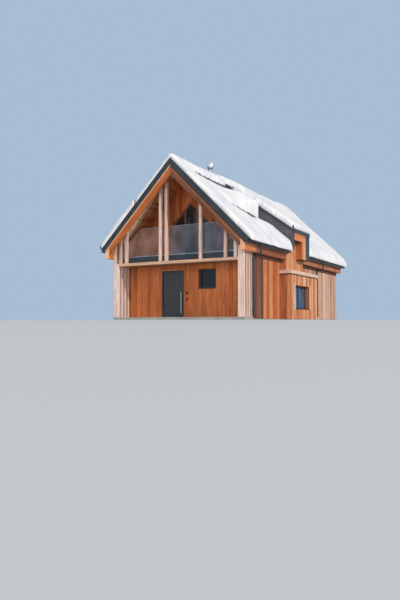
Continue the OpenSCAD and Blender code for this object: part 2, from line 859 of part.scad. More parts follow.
// Boxed hood under the edge of the dormer roof, with the pier at its rear end
module dormer_hood() {
    color("chocolate") {
        run_y(dormer_front_y + cheek_t, dormer_rear_y) polygon([
            [dormer_x, hood_foot_z], [hood_x, hood_foot_z],
            [hood_x, dormer_seat_z(hood_x)], [dormer_x, dormer_seat_z(dormer_x)]
        ]);
        block(dormer_x, hood_x, dormer_rear_y - pier_w, dormer_rear_y, pier_foot_z, hood_foot_z + 1);
    }
}

// Frame of the upper rear window
module rear_window() {
    color("darkslategray")
        frame_in_y(-rear_win_w / 2, rear_win_w, rear_upper_z, rear_win_h, rear_y - window_setback - frame_d);
}

// Glass of the upper rear window
module rear_window_glass() {
    color("lightblue", 0.4)
        glass_in_y(-rear_win_w / 2, rear_win_w, rear_upper_z, rear_win_h, rear_y - window_setback - frame_d);
}

// Round flue with its cowl, cut to the left slope at its foot
module flue() {
    reach = flue_r + flue_clear;
    foot_z = top_z(abs(flue_x) + reach);
    crest_z = top_z(abs(flue_x) - reach);
    color("gainsboro") difference() {
        union() {
            translate([flue_x, flue_y, foot_z]) cylinder(r = flue_r, h = flue_top_z - foot_z);
            translate([flue_x, flue_y, flue_top_z]) cylinder(r = cowl_r, h = cowl_h);
        }
        run_y(flue_y - reach, flue_y + reach) polygon([
            [flue_x - reach, foot_z + seat_gap], [flue_x + reach, crest_z + seat_gap],
            [flue_x + reach, foot_z - reach], [flue_x - reach, foot_z - reach]
        ]);
    }
}

// Two round fixtures beside the door
module wall_fixtures() {
    color("black") for (z = [fixture_z, fixture_z + fixture_pitch])
        translate([doorway_x1 + fixture_side, entrance_y, z]) rotate([90, 0, 0]) cylinder(r = fixture_r, h = fixture_t);
}

// Lamp on a stem that hangs from the ridge behind the front barge boards
module gable_lamp() {
    head_z = under_ridge_z - lamp_drop;
    y0 = roof_front_y + lamp_back;
    stem_y = y0 + (lamp_d - lamp_stem_d) / 2;
    color("black") {
        block(-lamp_w / 2, lamp_w / 2, y0, y0 + lamp_d, head_z - lamp_h, head_z);
        block(-lamp_stem_w / 2, lamp_stem_w / 2, stem_y, stem_y + lamp_stem_d,
              head_z, under_ridge_z - lamp_stem_w / 2 * slope - seat_gap);
    }
}

// Snow on the left slope, open round the flue
module snow_left() {
    hole_r = flue_r + flue_clear;
    hole_foot_z = top_z(abs(flue_x) + hole_r) - snow_v;
    color("snow") difference() {
        mirror([1, 0, 0]) run_y(roof_front_y - trim_t / 2, roof_rear_y + trim_t / 2) snow_outline();
        translate([flue_x, flue_y, hole_foot_z]) cylinder(r = hole_r, h = 3 * snow_v + 2 * hole_r * slope);
    }
}

// Snow on the right slope, in front of and behind the dormer, and on the dormer
module snow_right() {
    edge_x = dormer_edge_x - snow_back;
    edge_z = dormer_top_z(edge_x) + seat_gap;
    color("snow") {
        run_y(roof_front_y - trim_t / 2, dormer_front_y - snow_dormer_gap) snow_outline();
        run_y(dormer_rear_y + snow_dormer_gap, roof_rear_y + trim_t / 2) snow_outline();
        run_y(dormer_front_y, dormer_rear_y) polygon([
            [0, ridge_z + seat_gap], [edge_x, edge_z],
            [edge_x, edge_z + snow_v], [0, ridge_z + seat_gap + snow_v]
        ]);
    }
}

floor_slab();
left_wall();
right_wall_front();
right_wall_rear();
right_wall_over_bay();
bay_front_wall();
bay_side_walls();
bay_roof();
rear_wall();
entrance_wall_left();
entrance_wall_right();
entrance_wall_over();
door_frame();
entrance_door();
door_pull();
ground_windows();
ground_window_glass();
upper_floor();
floor_beam();
balcony_upstand();
balcony_glass();
front_posts();
barge_boards();
left_screen();
right_screen();
gable_wall();
gable_window();
gable_glass();
left_roof();
right_roof_front();
right_roof_rear();
roof_lining();
verge_trims();
eave_boxes();
gutters();
downpipes();
dormer_cheeks();
dormer_roof();
dormer_front();
dormer_hood();
rear_window();
rear_window_glass();
flue();
wall_fixtures();
gable_lamp();
snow_left();
snow_right();
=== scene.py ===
"""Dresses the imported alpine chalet: boards, roofing, snow, windows, fittings, soft light and the camera."""

import logging
import math
from collections.abc import Callable, Sequence
from dataclasses import dataclass
from enum import Enum

import bmesh
import bpy
import numpy as np
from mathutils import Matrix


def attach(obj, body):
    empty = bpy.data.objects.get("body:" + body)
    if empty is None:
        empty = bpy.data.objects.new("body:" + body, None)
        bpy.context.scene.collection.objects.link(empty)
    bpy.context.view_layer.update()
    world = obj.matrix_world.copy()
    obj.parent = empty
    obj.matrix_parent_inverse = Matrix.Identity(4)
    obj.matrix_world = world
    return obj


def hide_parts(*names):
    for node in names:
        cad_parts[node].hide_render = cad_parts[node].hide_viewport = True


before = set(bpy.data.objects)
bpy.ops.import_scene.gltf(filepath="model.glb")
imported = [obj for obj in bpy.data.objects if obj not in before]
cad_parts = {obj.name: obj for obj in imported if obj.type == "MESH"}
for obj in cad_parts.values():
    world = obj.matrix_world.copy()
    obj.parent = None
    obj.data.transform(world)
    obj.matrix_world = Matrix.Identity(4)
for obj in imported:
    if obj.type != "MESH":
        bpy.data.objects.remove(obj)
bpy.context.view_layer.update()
LOG = logging.getLogger("chalet")

Array = np.ndarray
Line = Callable[[Array], Array]
Point = tuple[float, float, float]
Node = bpy.types.Node
Socket = bpy.types.NodeSocket
X, Y, Z = (1.0, 0.0, 0.0), (0.0, 1.0, 0.0), (0.0, 0.0, 1.0)
FORWARD, DOWN = (0.0, -1.0, 0.0), (0.0, 0.0, -1.0)
ROOT_2 = math.sqrt(2)


@dataclass(frozen=True)
class House:
    """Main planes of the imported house, in metres; the front faces -Y and the ridge runs along Y."""

    side_x: float = 3.3
    inner_x: float = 3.02
    front_y: float = -6.3
    rear_y: float = 6.3
    slab_z: float = 0.12
    storey_z: float = 2.44
    beam_top_z: float = 2.56
    upper_z: float = 2.70
    under_ridge_z: float = 6.6
    lining_t: float = 0.025
    roof_under_z: float = 6.63596
    ridge_z: float = 6.95557
    tip_x: float = 3.74
    verge_y: float = 6.66
    trim_y: float = 6.70
    barge_h: float = 0.38
    barge_t: float = 0.05
    entrance_y: float = -5.4
    gable_y: float = -4.95
    post_w: float = 0.14
    post_d: float = 0.12
    bay_x: float = 3.81
    bay_y0: float = -2.45
    bay_y1: float = 1.2
    bay_head_z: float = 2.13
    bay_top_z: float = 2.29
    bay_lap: float = 0.12
    dormer_y0: float = -2.2
    dormer_y1: float = 0.0
    dormer_x: float = 3.5
    cheek_t: float = 0.15
    hood_x: float = 3.85
    hood_z: float = 3.7194
    pier_y: float = -0.95
    pier_z: float = 2.9
    jamb_y: float = -0.55
    wing_z: float = 3.2
    edge_x: float = 3.87
    edge_z: float = 4.2
    edge_v: float = 0.15959
    box_x: float = 3.5
    box_z: float = 2.78566
    gutter_x: float = 3.70395
    gutter_z: float = 3.12485
    gutter_r: float = 0.05

    def under(self, x: Array) -> Array:
        """Underside of the roof lining: it falls one for one from the ridge."""
        return self.under_ridge_z - np.abs(x)

    def top(self, x: Array) -> Array:
        """Upper face of the main roof: it falls one for one from the ridge."""
        return self.ridge_z - np.abs(x)

    def dormer_top(self, x: Array) -> Array:
        """Upper face of the dormer roof: a straight fall from the ridge to the dormer edge."""
        return self.ridge_z - np.abs(x) * (self.ridge_z - self.edge_z) / self.edge_x

    def dormer_under(self, x: Array) -> Array:
        """Underside of the dormer roof: its upper face less its upright thickness."""
        return self.dormer_top(x) - self.edge_v


H = House()
# Each run of eave: its side, and where it starts and ends along Y.
SLOPES = ((-1.0, -H.verge_y, H.verge_y), (1.0, -H.verge_y, H.dormer_y0), (1.0, H.dormer_y1, H.verge_y))
# Rectangular openings by wall: start and end along the wall, sill and head.
DOORWAY = (-1.24, -0.078, 0.0, 2.212)
PORCH_WINDOW = (0.67, 1.55, 1.37, 2.23)
BAY_WINDOW = (-1.93, 0.05, 0.52, 1.625)
LEFT_WINDOWS = tuple((y, y + 0.88, 1.37, 2.23) for y in (-3.1, 0.0, 3.1))
REAR_WINDOWS = ((1.0, 2.2, 0.99, 2.23), (-2.2, -1.0, 0.99, 2.23), (-0.6, 0.6, 3.5, 4.74))


# Shapes


@dataclass(frozen=True)
class Plane:
    """An upright wall face: a point on it, the way along it and the way out of it."""

    origin: Point
    along: Point
    out: Point

    def place(self, u: Array, v: Array, n: Array) -> Array:
        """Puts points on the face: origin plus u along, v upwards and n outwards.

        Args:
            u: Distances along the face.
            v: Heights above the ground.
            n: Distances out of the face.

        Returns:
            The points, with a last axis of three.
        """
        u, v, n = (part[..., None] for part in np.broadcast_arrays(u, v, n))
        return np.array(self.origin) + u * np.array(self.along) + v * np.array(Z) + n * np.array(self.out)


def front(y: float) -> Plane:
    """A face that looks along -Y, with u as X."""
    return Plane((0.0, y, 0.0), X, FORWARD)


def rear(y: float) -> Plane:
    """A face that looks along +Y, with u as X."""
    return Plane((0.0, y, 0.0), X, Y)


def flank(x: float) -> Plane:
    """A face that looks away from the ridge along X, with u as Y."""
    return Plane((x, 0.0, 0.0), Y, (math.copysign(1.0, x), 0.0, 0.0))


def gabled(apex: float) -> Line:
    """A line that falls one for one to both sides of the middle from its apex."""
    return lambda u: apex - np.abs(u)


def heights(line: Line | float, u: Array) -> Array:
    """Heights of a line, or of one level, at these places."""
    return line(u) if callable(line) else np.full_like(u, line)


def board_edges(start: float, end: float, width: float, rng: np.random.Generator,
                breaks: Sequence[float]) -> Array:
    """Edges of a row of boards: widths of 0.8, 1 or 1.2 times the nominal one, and an edge at each break.

    Args:
        start: Where the row starts.
        end: Where it ends.
        width: Nominal width of a board.
        rng: Source of the widths.
        breaks: Places that must be edges, such as the sides of a window.

    Returns:
        The edges in rising order, with none closer to a break than 0.4 of a width.
    """
    marks = np.array(sorted({start, end, *[b for b in breaks if start < b < end]}))
    widths = width * rng.choice([0.8, 1.0, 1.0, 1.2], int((end - start) / width / 0.8) + 2)
    edges = start + np.cumsum(widths)
    near = np.abs(edges[:, None] - marks[None]).min(axis=1) < 0.4 * width
    return np.sort(np.concatenate([marks, edges[(edges < end) & ~near]]))


@dataclass(frozen=True)
class Hole:
    """An opening in a row of boards, between two places and two heights or lines."""

    start: float
    end: float
    low: Line | float
    high: Line | float


def lay_strips(edges: Array, foot: Line | float, head: Line | float, holes: Sequence[Hole] = ()) -> Array:
    """Cuts a row of boards to its foot and head lines and round its openings, and drops offcuts under 12 mm.

    Args:
        edges: Edges of the boards.
        foot: Line of their lower ends.
        head: Line of their upper ends.
        holes: Openings whose sides are edges of boards.

    Returns:
        One row a board: both edges, both foot heights and both head heights.
    """
    rows = []
    for a, b in zip(edges[:-1], edges[1:]):
        ends = np.array([a, b])
        cuts = [(heights(foot, ends), heights(head, ends))]
        for hole in holes:
            if hole.start - 1e-6 <= a and b <= hole.end + 1e-6:
                below = [(low, heights(hole.low, ends)) for low, high in cuts]
                cuts = below + [(heights(hole.high, ends), high) for low, high in cuts]
        rows += [(a, b, *low, *high) for low, high in cuts if (high - low).max() > 0.012]
    strips = np.array(rows)
    strips[:, 4:] = np.maximum(strips[:, 4:], strips[:, 2:4] + 0.001)
    return strips


class Solids:
    """Collects closed surfaces, each with a tone and a shift for its finish, and makes one mesh of them."""

    def __init__(self) -> None:
        """Starts with nothing."""
        self.points: list[Array] = []
        self.corners: list[Array] = []
        self.sizes: list[Array] = []
        self.tones: list[Array] = []
        self.shifts: list[Array] = []
        self.count = 0

    def add(self, points: Array, faces: Sequence[Array], tone: Array | float = 0.5,
            shift: Array | float = 0.0) -> None:
        """Adds one set of points and its faces.

        Args:
            points: The points, with a last axis of three.
            faces: Index arrays, one row a face, into these points.
            tone: One value, or one a point, that the finish tints by.
            shift: One value, or one a point, that moves the finish's pattern.
        """
        points = points.reshape(-1, 3)
        for part in faces:
            if len(part):
                self.corners.append((part + self.count).ravel())
                self.sizes.append(np.full(len(part), part.shape[1]))
        self.points.append(points)
        self.tones.append(np.broadcast_to(tone, len(points)))
        self.shifts.append(np.broadcast_to(shift, len(points)))
        self.count += len(points)

    def rings(self, rings: Array, tone: Array | float = 0.5, shift: Array | float = 0.0) -> None:
        """Adds closed solids, each a row of rings joined by quads and capped at both ends.

        A ring that runs clockwise, seen along the way from the first ring to the last, is turned round,
        so that every face points outwards.

        Args:
            rings: Array of solids, rings, points of a ring, and three.
            tone: One value, or one a solid.
            shift: One value, or one a solid.
        """
        count, rows, around, _ = rings.shape
        index = np.arange(count * rows * around).reshape(count, rows, around)
        first = rings[:, 0]
        normal = np.cross(first, np.roll(first, -1, axis=1)).sum(axis=1)
        way = rings[:, -1].mean(axis=1) - first.mean(axis=1)
        turned = (normal * way).sum(axis=1) < 0
        index[turned] = index[turned][:, :, ::-1]
        after = np.roll(index, -1, axis=2)
        sides = np.stack([index[:, :-1], after[:, :-1], after[:, 1:], index[:, 1:]], axis=-1).reshape(-1, 4)
        values = [np.repeat(np.broadcast_to(value, count), rows * around) for value in (tone, shift)]
        self.add(rings, [sides, index[:, 0, ::-1], index[:, -1]], *values)

    def boards(self, plane: Plane, strips: Array, depth: Array | float, chamfer: float = 0.002,
               joint: float = 0.0,
               tone: Array | float = 0.5, shift: Array | float = 0.0, back: float = 0.0, both: bool = False,
               taper: float = 0.0) -> None:
        """Adds boards on a face: a flat back, square sides and chamfered front edges, from foot to head.

        Args:
            plane: The face that they lie on.
            strips: Rows from lay_strips.
            depth: Thickness of the boards, one value or one a board.
            chamfer: Width of the chamfers.
            joint: Gap between two boards.
            tone: One value, or one a board.
            shift: One value, or one a board.
            back: How far out of the face their backs lie.
            both: Whether the back edges are chamfered too.
            taper: How much thinner they are at their heads.
        """
        a, b, c = strips[:, 0] + joint / 2, strips[:, 1] - joint / 2, chamfer
        d, zero = np.broadcast_to(depth, len(strips)), np.zeros(len(strips))
        us, ns = [a, a, a + c, b - c, b, b], [zero, d - c, d, d, d - c, zero]
        if both:
            us, ns = [a + c, *us, b - c], [zero, zero + c, *ns[1:-1], zero + c, zero]
        u, n = np.stack(us, axis=1), np.stack(ns, axis=1) + back
        share = (u - strips[:, 0:1]) / (strips[:, 1:2] - strips[:, 0:1])
        foot = strips[:, 2:3] + share * (strips[:, 3:4] - strips[:, 2:3])
        head = strips[:, 4:5] + share * (strips[:, 5:6] - strips[:, 4:5])
        rings = np.stack([plane.place(u, foot, n), plane.place(u, head, n)], axis=1)
        rings[:, 1, 1:-1] -= np.array(plane.out) * taper
        self.rings(rings, tone, shift)

    def bars(self, starts: Sequence[Point] | Array, ends: Sequence[Point] | Array, across: Point,
             width: float, depth: float, chamfer: float = 0.002, tone: Array | float = 0.5,
             shift: Array | float = 0.0) -> None:
        """Adds straight bars of chamfered rectangular section between two points each.

        The section lies in the way across and in the way square to it and to the bar.

        Args:
            starts: First end of each bar, at the middle of its section.
            ends: Last end of each bar.
            across: Unit way of the bar's width.
            width: Size of the section across.
            depth: Its other size.
            chamfer: Width of the chamfers.
            tone: One value, or one a bar.
            shift: One value, or one a bar.
        """
        starts, ends = np.atleast_2d(np.asarray(starts, float)), np.atleast_2d(np.asarray(ends, float))
        way = (ends - starts) / np.linalg.norm(ends - starts, axis=1, keepdims=True)
        deep = np.cross(way, np.asarray(across))
        deep /= np.linalg.norm(deep, axis=1, keepdims=True)
        w, d, c = width / 2, depth / 2, chamfer
        s = np.array([-w + c, w - c, w, w, w - c, -w + c, -w, -w])
        t = np.array([-d, -d, -d + c, d - c, d, d, d - c, -d + c])
        section = s[None, :, None] * np.asarray(across) + t[None, :, None] * deep[:, None, :]
        self.rings(np.stack([starts[:, None] + section, ends[:, None] + section], axis=1), tone, shift)

    def profile(self, points: Sequence[Sequence[float]], axis: int, start: float, end: float) -> None:
        """Adds a profile carried along a main axis.

        Args:
            points: The profile, as its two other coordinates in rising order of axis.
            axis: Which axis it is carried along.
            start: Where it starts.
            end: Where it ends.
        """
        rings = np.empty((1, 2, len(points), 3))
        rings[..., [i for i in range(3) if i != axis]] = np.asarray(points)
        rings[0, 0, :, axis], rings[0, 1, :, axis] = start, end
        self.rings(rings)

    def turned(self, centre: Point, axis: Point, steps: Sequence[tuple[float, float]], around: int = 24,
               lean: float = 0.0) -> None:
        """Adds a turned piece: circles of each radius at each distance along an axis.

        Args:
            centre: Where the axis starts.
            axis: Unit way of the axis.
            steps: Pairs of distance and radius.
            around: Points of a circle.
            lean: How far it leans along X for each metre upwards.
        """
        way = np.asarray(axis)
        one = np.cross(way, X if abs(way[2]) > 0.5 else Z)
        one /= np.linalg.norm(one)
        angle = np.linspace(0.0, 2.0 * math.pi, around, endpoint=False)
        circle = np.cos(angle)[:, None] * one + np.sin(angle)[:, None] * np.cross(way, one)
        pairs = np.asarray(steps)
        rings = np.asarray(centre) + pairs[:, 0, None, None] * way + pairs[:, 1, None, None] * circle
        rings[..., 0] += lean * (rings[..., 2] - centre[2])
        self.rings(rings[None])

    def make(self, name: str, finish: "Finish", slot: str, replaces: str = "", body: str = "house",
             smooth: bool = False) -> bpy.types.Object:
        """Makes the mesh object, dresses it and lets it ride.

        Args:
            name: Name of the new piece.
            finish: What it is finished with.
            slot: Not used.
            replaces: CAD node that it stands for, if any.
            body: The body that it rides on.
            smooth: Whether its faces are shaded smooth.

        Returns:
            The new object.
        """
        mesh = bpy.data.meshes.new(name)
        points = np.concatenate(self.points).astype(np.float32)
        corners = np.concatenate(self.corners).astype(np.int32)
        sizes = np.concatenate(self.sizes)
        mesh.vertices.add(len(points))
        mesh.vertices.foreach_set("co", points.ravel())
        mesh.loops.add(len(corners))
        mesh.loops.foreach_set("vertex_index", corners)
        mesh.polygons.add(len(sizes))
        starts = np.concatenate([[0], np.cumsum(sizes)[:-1]])
        mesh.polygons.foreach_set("loop_start", starts.astype(np.int32))
        mesh.update(calc_edges=True)
        for key, values in (("tone", self.tones), ("shift", self.shifts)):
            held = mesh.attributes.new(key, "FLOAT", "POINT")
            held.data.foreach_set("value", np.concatenate(values).astype(np.float32))
        mesh.validate()
        if smooth:
            mesh.shade_smooth()
        else:
            mesh.shade_flat()
        piece = bpy.data.objects.new(name, mesh)
        bpy.context.scene.collection.objects.link(piece)
        mesh.materials.append(finish.material())
        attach(piece, body)
        if replaces:
            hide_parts(replaces)
        LOG.info("%s: %d points, %d faces", name, len(points), len(sizes))
        return piece


def smooth_noise(x: Array, y: Array, seed: int) -> Array:
    """Soft random hills: values drawn at whole numbers, blended between them by a smooth step, from -1 to 1.

    Args:
        x: First coordinates, in hills.
        y: Second coordinates, in hills.
        seed: Which hills.

    Returns:
        One value a point.
    """
    table = np.random.default_rng(seed).uniform(-1.0, 1.0, (64, 64))
    xi, yi = np.floor(x).astype(int), np.floor(y).astype(int)
    fx, fy = smooth_step(x - xi, 0.0, 1.0), smooth_step(y - yi, 0.0, 1.0)
    low, high = (table[xi % 64, j % 64] * (1 - fx) + table[(xi + 1) % 64, j % 64] * fx for j in (yi, yi + 1))
    return low * (1 - fy) + high * fy


def smooth_step(value: Array, low: float, high: float) -> Array:
    """Rises from 0 at low to 1 at high along three squares less two cubes."""
    share = np.clip((value - low) / (high - low), 0.0, 1.0)
    return share * share * (3 - 2 * share)


# Finishes


def shades(codes: str) -> list[tuple[float, ...]]:
    """Turns screen colours into the shader's linear ones, by the usual curve of screens.

    Args:
        codes: Colours of a finish, each as two hexadecimal digits for red, green and blue.

    Returns:
        One tuple a colour: red, green, blue and a full alpha.
    """
    parts = [[c / 255 for c in bytes.fromhex(code)] for code in codes.split()]
    return [(*[c / 12.92 if c <= 0.04045 else ((c + 0.055) / 1.055) ** 2.4 for c in part], 1.0)
            for part in parts]


class Graph:
    """Short ways to add and join the nodes of one node tree."""

    def __init__(self, tree: bpy.types.NodeTree) -> None:
        """Keeps the tree."""
        self.tree = tree

    def add(self, kind: str, **settings: object) -> Node:
        """Adds a node.

        Args:
            kind: Its type.
            settings: The properties to set on it.

        Returns:
            The new node.
        """
        node = self.tree.nodes.new(kind)
        for key, value in settings.items():
            setattr(node, key, value)
        return node

    def feed(self, socket: Socket, value: object) -> None:
        """Joins an output to the socket, or sets the socket's own value.

        Args:
            socket: An input of a node.
            value: An output to join, or a plain value to set.
        """
        if isinstance(value, Socket):
            self.tree.links.new(value, socket)
        else:
            socket.default_value = value

    def fill(self, node: Node, *values: object, first: int = 0) -> Node:
        """Feeds a node's inputs in order, from the first one on.

        Args:
            node: The node to feed.
            values: Outputs or plain values.
            first: Number of the input that takes the first value.

        Returns:
            The same node.
        """
        for place, value in enumerate(values, first):
            self.feed(node.inputs[place], value)
        return node

    def maths(self, operation: str, first: object, second: object = 0.0, clamp: bool = False) -> Socket:
        """One sum of two values."""
        return self.fill(self.add("ShaderNodeMath", operation=operation, use_clamp=clamp), first,
                         second).outputs[0]

    def plus(self, first: object, second: object, clamp: bool = False) -> Socket:
        """First plus second."""
        return self.maths("ADD", first, second, clamp)

    def minus(self, first: object, second: object, clamp: bool = False) -> Socket:
        """First less second."""
        return self.maths("SUBTRACT", first, second, clamp)

    def times(self, first: object, second: object, clamp: bool = False) -> Socket:
        """First times second."""
        return self.maths("MULTIPLY", first, second, clamp)

    def vector(self, operation: str, first: object, second: object) -> Socket:
        """One sum of two vectors."""
        return self.fill(self.add("ShaderNodeVectorMath", operation=operation), first, second).outputs[0]

    def split(self, vector: Socket) -> bpy.types.NodeOutputs:
        """The three parts of a vector."""
        return self.fill(self.add("ShaderNodeSeparateXYZ"), vector).outputs

    def join(self, *parts: object) -> Socket:
        """A vector of three parts."""
        return self.fill(self.add("ShaderNodeCombineXYZ"), *parts).outputs[0]

    def blend(self, amount: object, first: object, second: object, mode: str = "MIX") -> Socket:
        """Blends two colours.

        Args:
            amount: Share of the second colour.
            first: First colour.
            second: Second colour.
            mode: How they are blended.

        Returns:
            The blended colour.
        """
        node = self.add("ShaderNodeMix", data_type="RGBA", blend_type=mode)
        self.feed(node.inputs[0], amount)
        return self.fill(node, first, second, first=6).outputs[2]

    def noise(self, vector: object, stretch: Point, detail: float = 3.0) -> Socket:
        """Noise of coordinates that are first stretched by three numbers.

        Args:
            vector: The coordinates.
            stretch: What each of them is multiplied by.
            detail: How many finer layers the noise has.

        Returns:
            The noise, about 0.5 on average.
        """
        node = self.fill(self.add("ShaderNodeTexNoise"), self.vector("MULTIPLY", vector, stretch))
        node.inputs["Scale"].default_value = 1.0
        node.inputs["Detail"].default_value = detail
        return node.outputs["Fac"]

    def ease(self, value: object, low: float, high: float, first: float = 0.0, last: float = 1.0) -> Socket:
        """Rises smoothly from first at low to last at high."""
        node = self.add("ShaderNodeMapRange", interpolation_type="SMOOTHSTEP")
        return self.fill(node, value, low, high, first, last).outputs[0]


class Kind(Enum):
    """Sockets of a node group."""

    NUMBER = "NodeSocketFloat"
    COLOUR = "NodeSocketColor"
    VECTOR = "NodeSocketVector"


class Effect:
    """A node group that more than one finish uses, built once; it takes coordinates, colours and numbers."""

    name = "effect"
    colours: tuple[str, ...] = ()
    numbers: tuple[str, ...] = ()

    def tree(self) -> bpy.types.NodeTree:
        """Builds the group's tree on first use.

        Returns:
            The node tree.
        """
        if self.name in bpy.data.node_groups:
            return bpy.data.node_groups[self.name]
        tree = bpy.data.node_groups.new(self.name, "ShaderNodeTree")
        takes = {"Vector": Kind.VECTOR, **dict.fromkeys(self.colours, Kind.COLOUR),
                 **dict.fromkeys(self.numbers, Kind.NUMBER)}
        gives = {"Color": Kind.COLOUR, "Roughness": Kind.NUMBER, "Height": Kind.NUMBER}
        for way, sockets in (("INPUT", takes), ("OUTPUT", gives)):
            for key, kind in sockets.items():
                tree.interface.new_socket(name=key, in_out=way, socket_type=kind.value)
        graph = Graph(tree)
        taken = graph.add("NodeGroupInput").outputs
        graph.fill(graph.add("NodeGroupOutput"), *self.build(graph, taken))
        return tree

    def build(self, graph: Graph, taken: bpy.types.NodeOutputs) -> tuple[object, object, object]:
        """The group's colour, roughness and height."""
        raise NotImplementedError


class Grain(Effect):
    """Timber grain along Z: streaks, pores, a few knots, and a tint from deep over base to pale by tone."""

    name = "timber_grain"
    colours = ("Deep", "Base", "Pale")
    numbers = ("Tone", "Shift", "Weather")

    def build(self, graph: Graph, taken: bpy.types.NodeOutputs) -> tuple[object, object, object]:
        """Streaks and pores multiply the tint; knots darken it; weather fades it to grey in patches.

        Args:
            graph: The group's nodes.
            taken: What the group takes in.

        Returns:
            Colour, roughness and height.
        """
        offset = graph.join(*[graph.times(taken["Shift"], factor) for factor in (31.7, 17.3, 9.1)])
        at = graph.vector("ADD", taken["Vector"], offset)
        streak = graph.noise(at, (34.0, 34.0, 1.3), 5.0)
        pores = graph.noise(at, (190.0, 190.0, 6.0), 2.0)
        cloud = graph.noise(at, (3.0, 3.0, 0.5), 2.0)
        knots = graph.add("ShaderNodeTexVoronoi")
        graph.feed(knots.inputs["Vector"], graph.vector("MULTIPLY", at, (6.5, 6.5, 1.7)))
        knots.inputs["Scale"].default_value = 1.0
        knot = graph.ease(knots.outputs["Distance"], 0.05, 0.16, 1.0, 0.0)
        tone = graph.plus(taken["Tone"], graph.times(graph.minus(cloud, 0.5), 0.7))
        lower = graph.blend(graph.times(tone, 2.0, True), taken["Deep"], taken["Base"])
        tint = graph.blend(graph.minus(graph.times(tone, 2.0), 1.0, True), lower, taken["Pale"])
        shade = graph.blend(graph.ease(streak, 0.3, 0.7), (0.74, 0.70, 0.66, 1.0), (1.12, 1.12, 1.12, 1.0))
        tint = graph.blend(1.0, tint, shade, "MULTIPLY")
        dark = graph.blend(0.55, taken["Deep"], (0.02, 0.01, 0.006, 1.0))
        tint = graph.blend(graph.times(knot, 0.65), tint, dark)
        faded = graph.times(graph.ease(cloud, 0.42, 0.62), taken["Weather"])
        tint = graph.blend(faded, tint, (0.33, 0.29, 0.27, 1.0))
        height = graph.plus(graph.times(streak, 0.7), graph.times(pores, 0.3))
        return tint, graph.ease(streak, 0.2, 0.8, 0.74, 0.5), graph.minus(height, graph.times(knot, 0.25))


class Coat(Effect):
    """A painted or coated sheet: an even colour with dusty patches, faint ripples and a fine tooth."""

    name = "coated_sheet"
    colours = ("Base", "Dust")
    numbers = ("Tone", "Amount", "Gloss")

    def build(self, graph: Graph, taken: bpy.types.NodeOutputs) -> tuple[object, object, object]:
        """Dust lies in soft patches; the tone lightens the sheet; the tooth is a fine noise.

        Args:
            graph: The group's nodes.
            taken: What the group takes in.

        Returns:
            Colour, roughness and height.
        """
        patch = graph.noise(taken["Vector"], (1.7, 1.7, 1.1), 4.0)
        tooth = graph.noise(taken["Vector"], (160.0, 160.0, 160.0), 2.0)
        ripple = graph.noise(taken["Vector"], (5.0, 5.0, 5.0), 1.0)
        dust = graph.times(graph.ease(patch, 0.38, 0.75), taken["Amount"])
        lighter = graph.times(graph.minus(taken["Tone"], 0.5), 0.35)
        base = graph.blend(graph.maths("MAXIMUM", lighter, 0.0), taken["Base"], taken["Dust"])
        base = graph.blend(graph.maths("MAXIMUM", graph.times(lighter, -1.0), 0.0), base,
                           (0.0, 0.0, 0.0, 1.0))
        height = graph.plus(graph.times(tooth, 0.15), graph.times(ripple, 0.85))
        return graph.blend(dust, base, taken["Dust"]), graph.plus(taken["Gloss"],
                                                                  graph.times(patch, 0.22)), height


class Powder(Effect):
    """Settled snow: soft hollows that turn faintly blue, wind ripples and a fine crust."""

    name = "settled_powder"
    colours = ("Base", "Hollow")

    def build(self, graph: Graph, taken: bpy.types.NodeOutputs) -> tuple[object, object, object]:
        """Slow noise picks the hollows; a finer one is the crust.

        Args:
            graph: The group's nodes.
            taken: What the group takes in.

        Returns:
            Colour, roughness and height.
        """
        hollow = graph.noise(taken["Vector"], (1.3, 1.3, 1.3), 3.0)
        ripple = graph.noise(taken["Vector"], (7.0, 4.0, 7.0), 3.0)
        crust = graph.noise(taken["Vector"], (60.0, 60.0, 60.0), 3.0)
        tint = graph.blend(graph.ease(hollow, 0.35, 0.75), taken["Base"], taken["Hollow"])
        height = graph.plus(graph.times(ripple, 0.7), graph.times(crust, 0.3))
        return tint, graph.ease(crust, 0.3, 0.7, 0.62, 0.85), height


class Run(Enum):
    """Which way the grain runs, as the turn that brings it upright."""

    UPRIGHT = (0.0, 0.0, 0.0)
    ALONG_X = (0.0, math.pi / 2, 0.0)
    ALONG_Y = (math.pi / 2, 0.0, 0.0)
    RAKE = (0.0, math.pi / 4, 0.0)


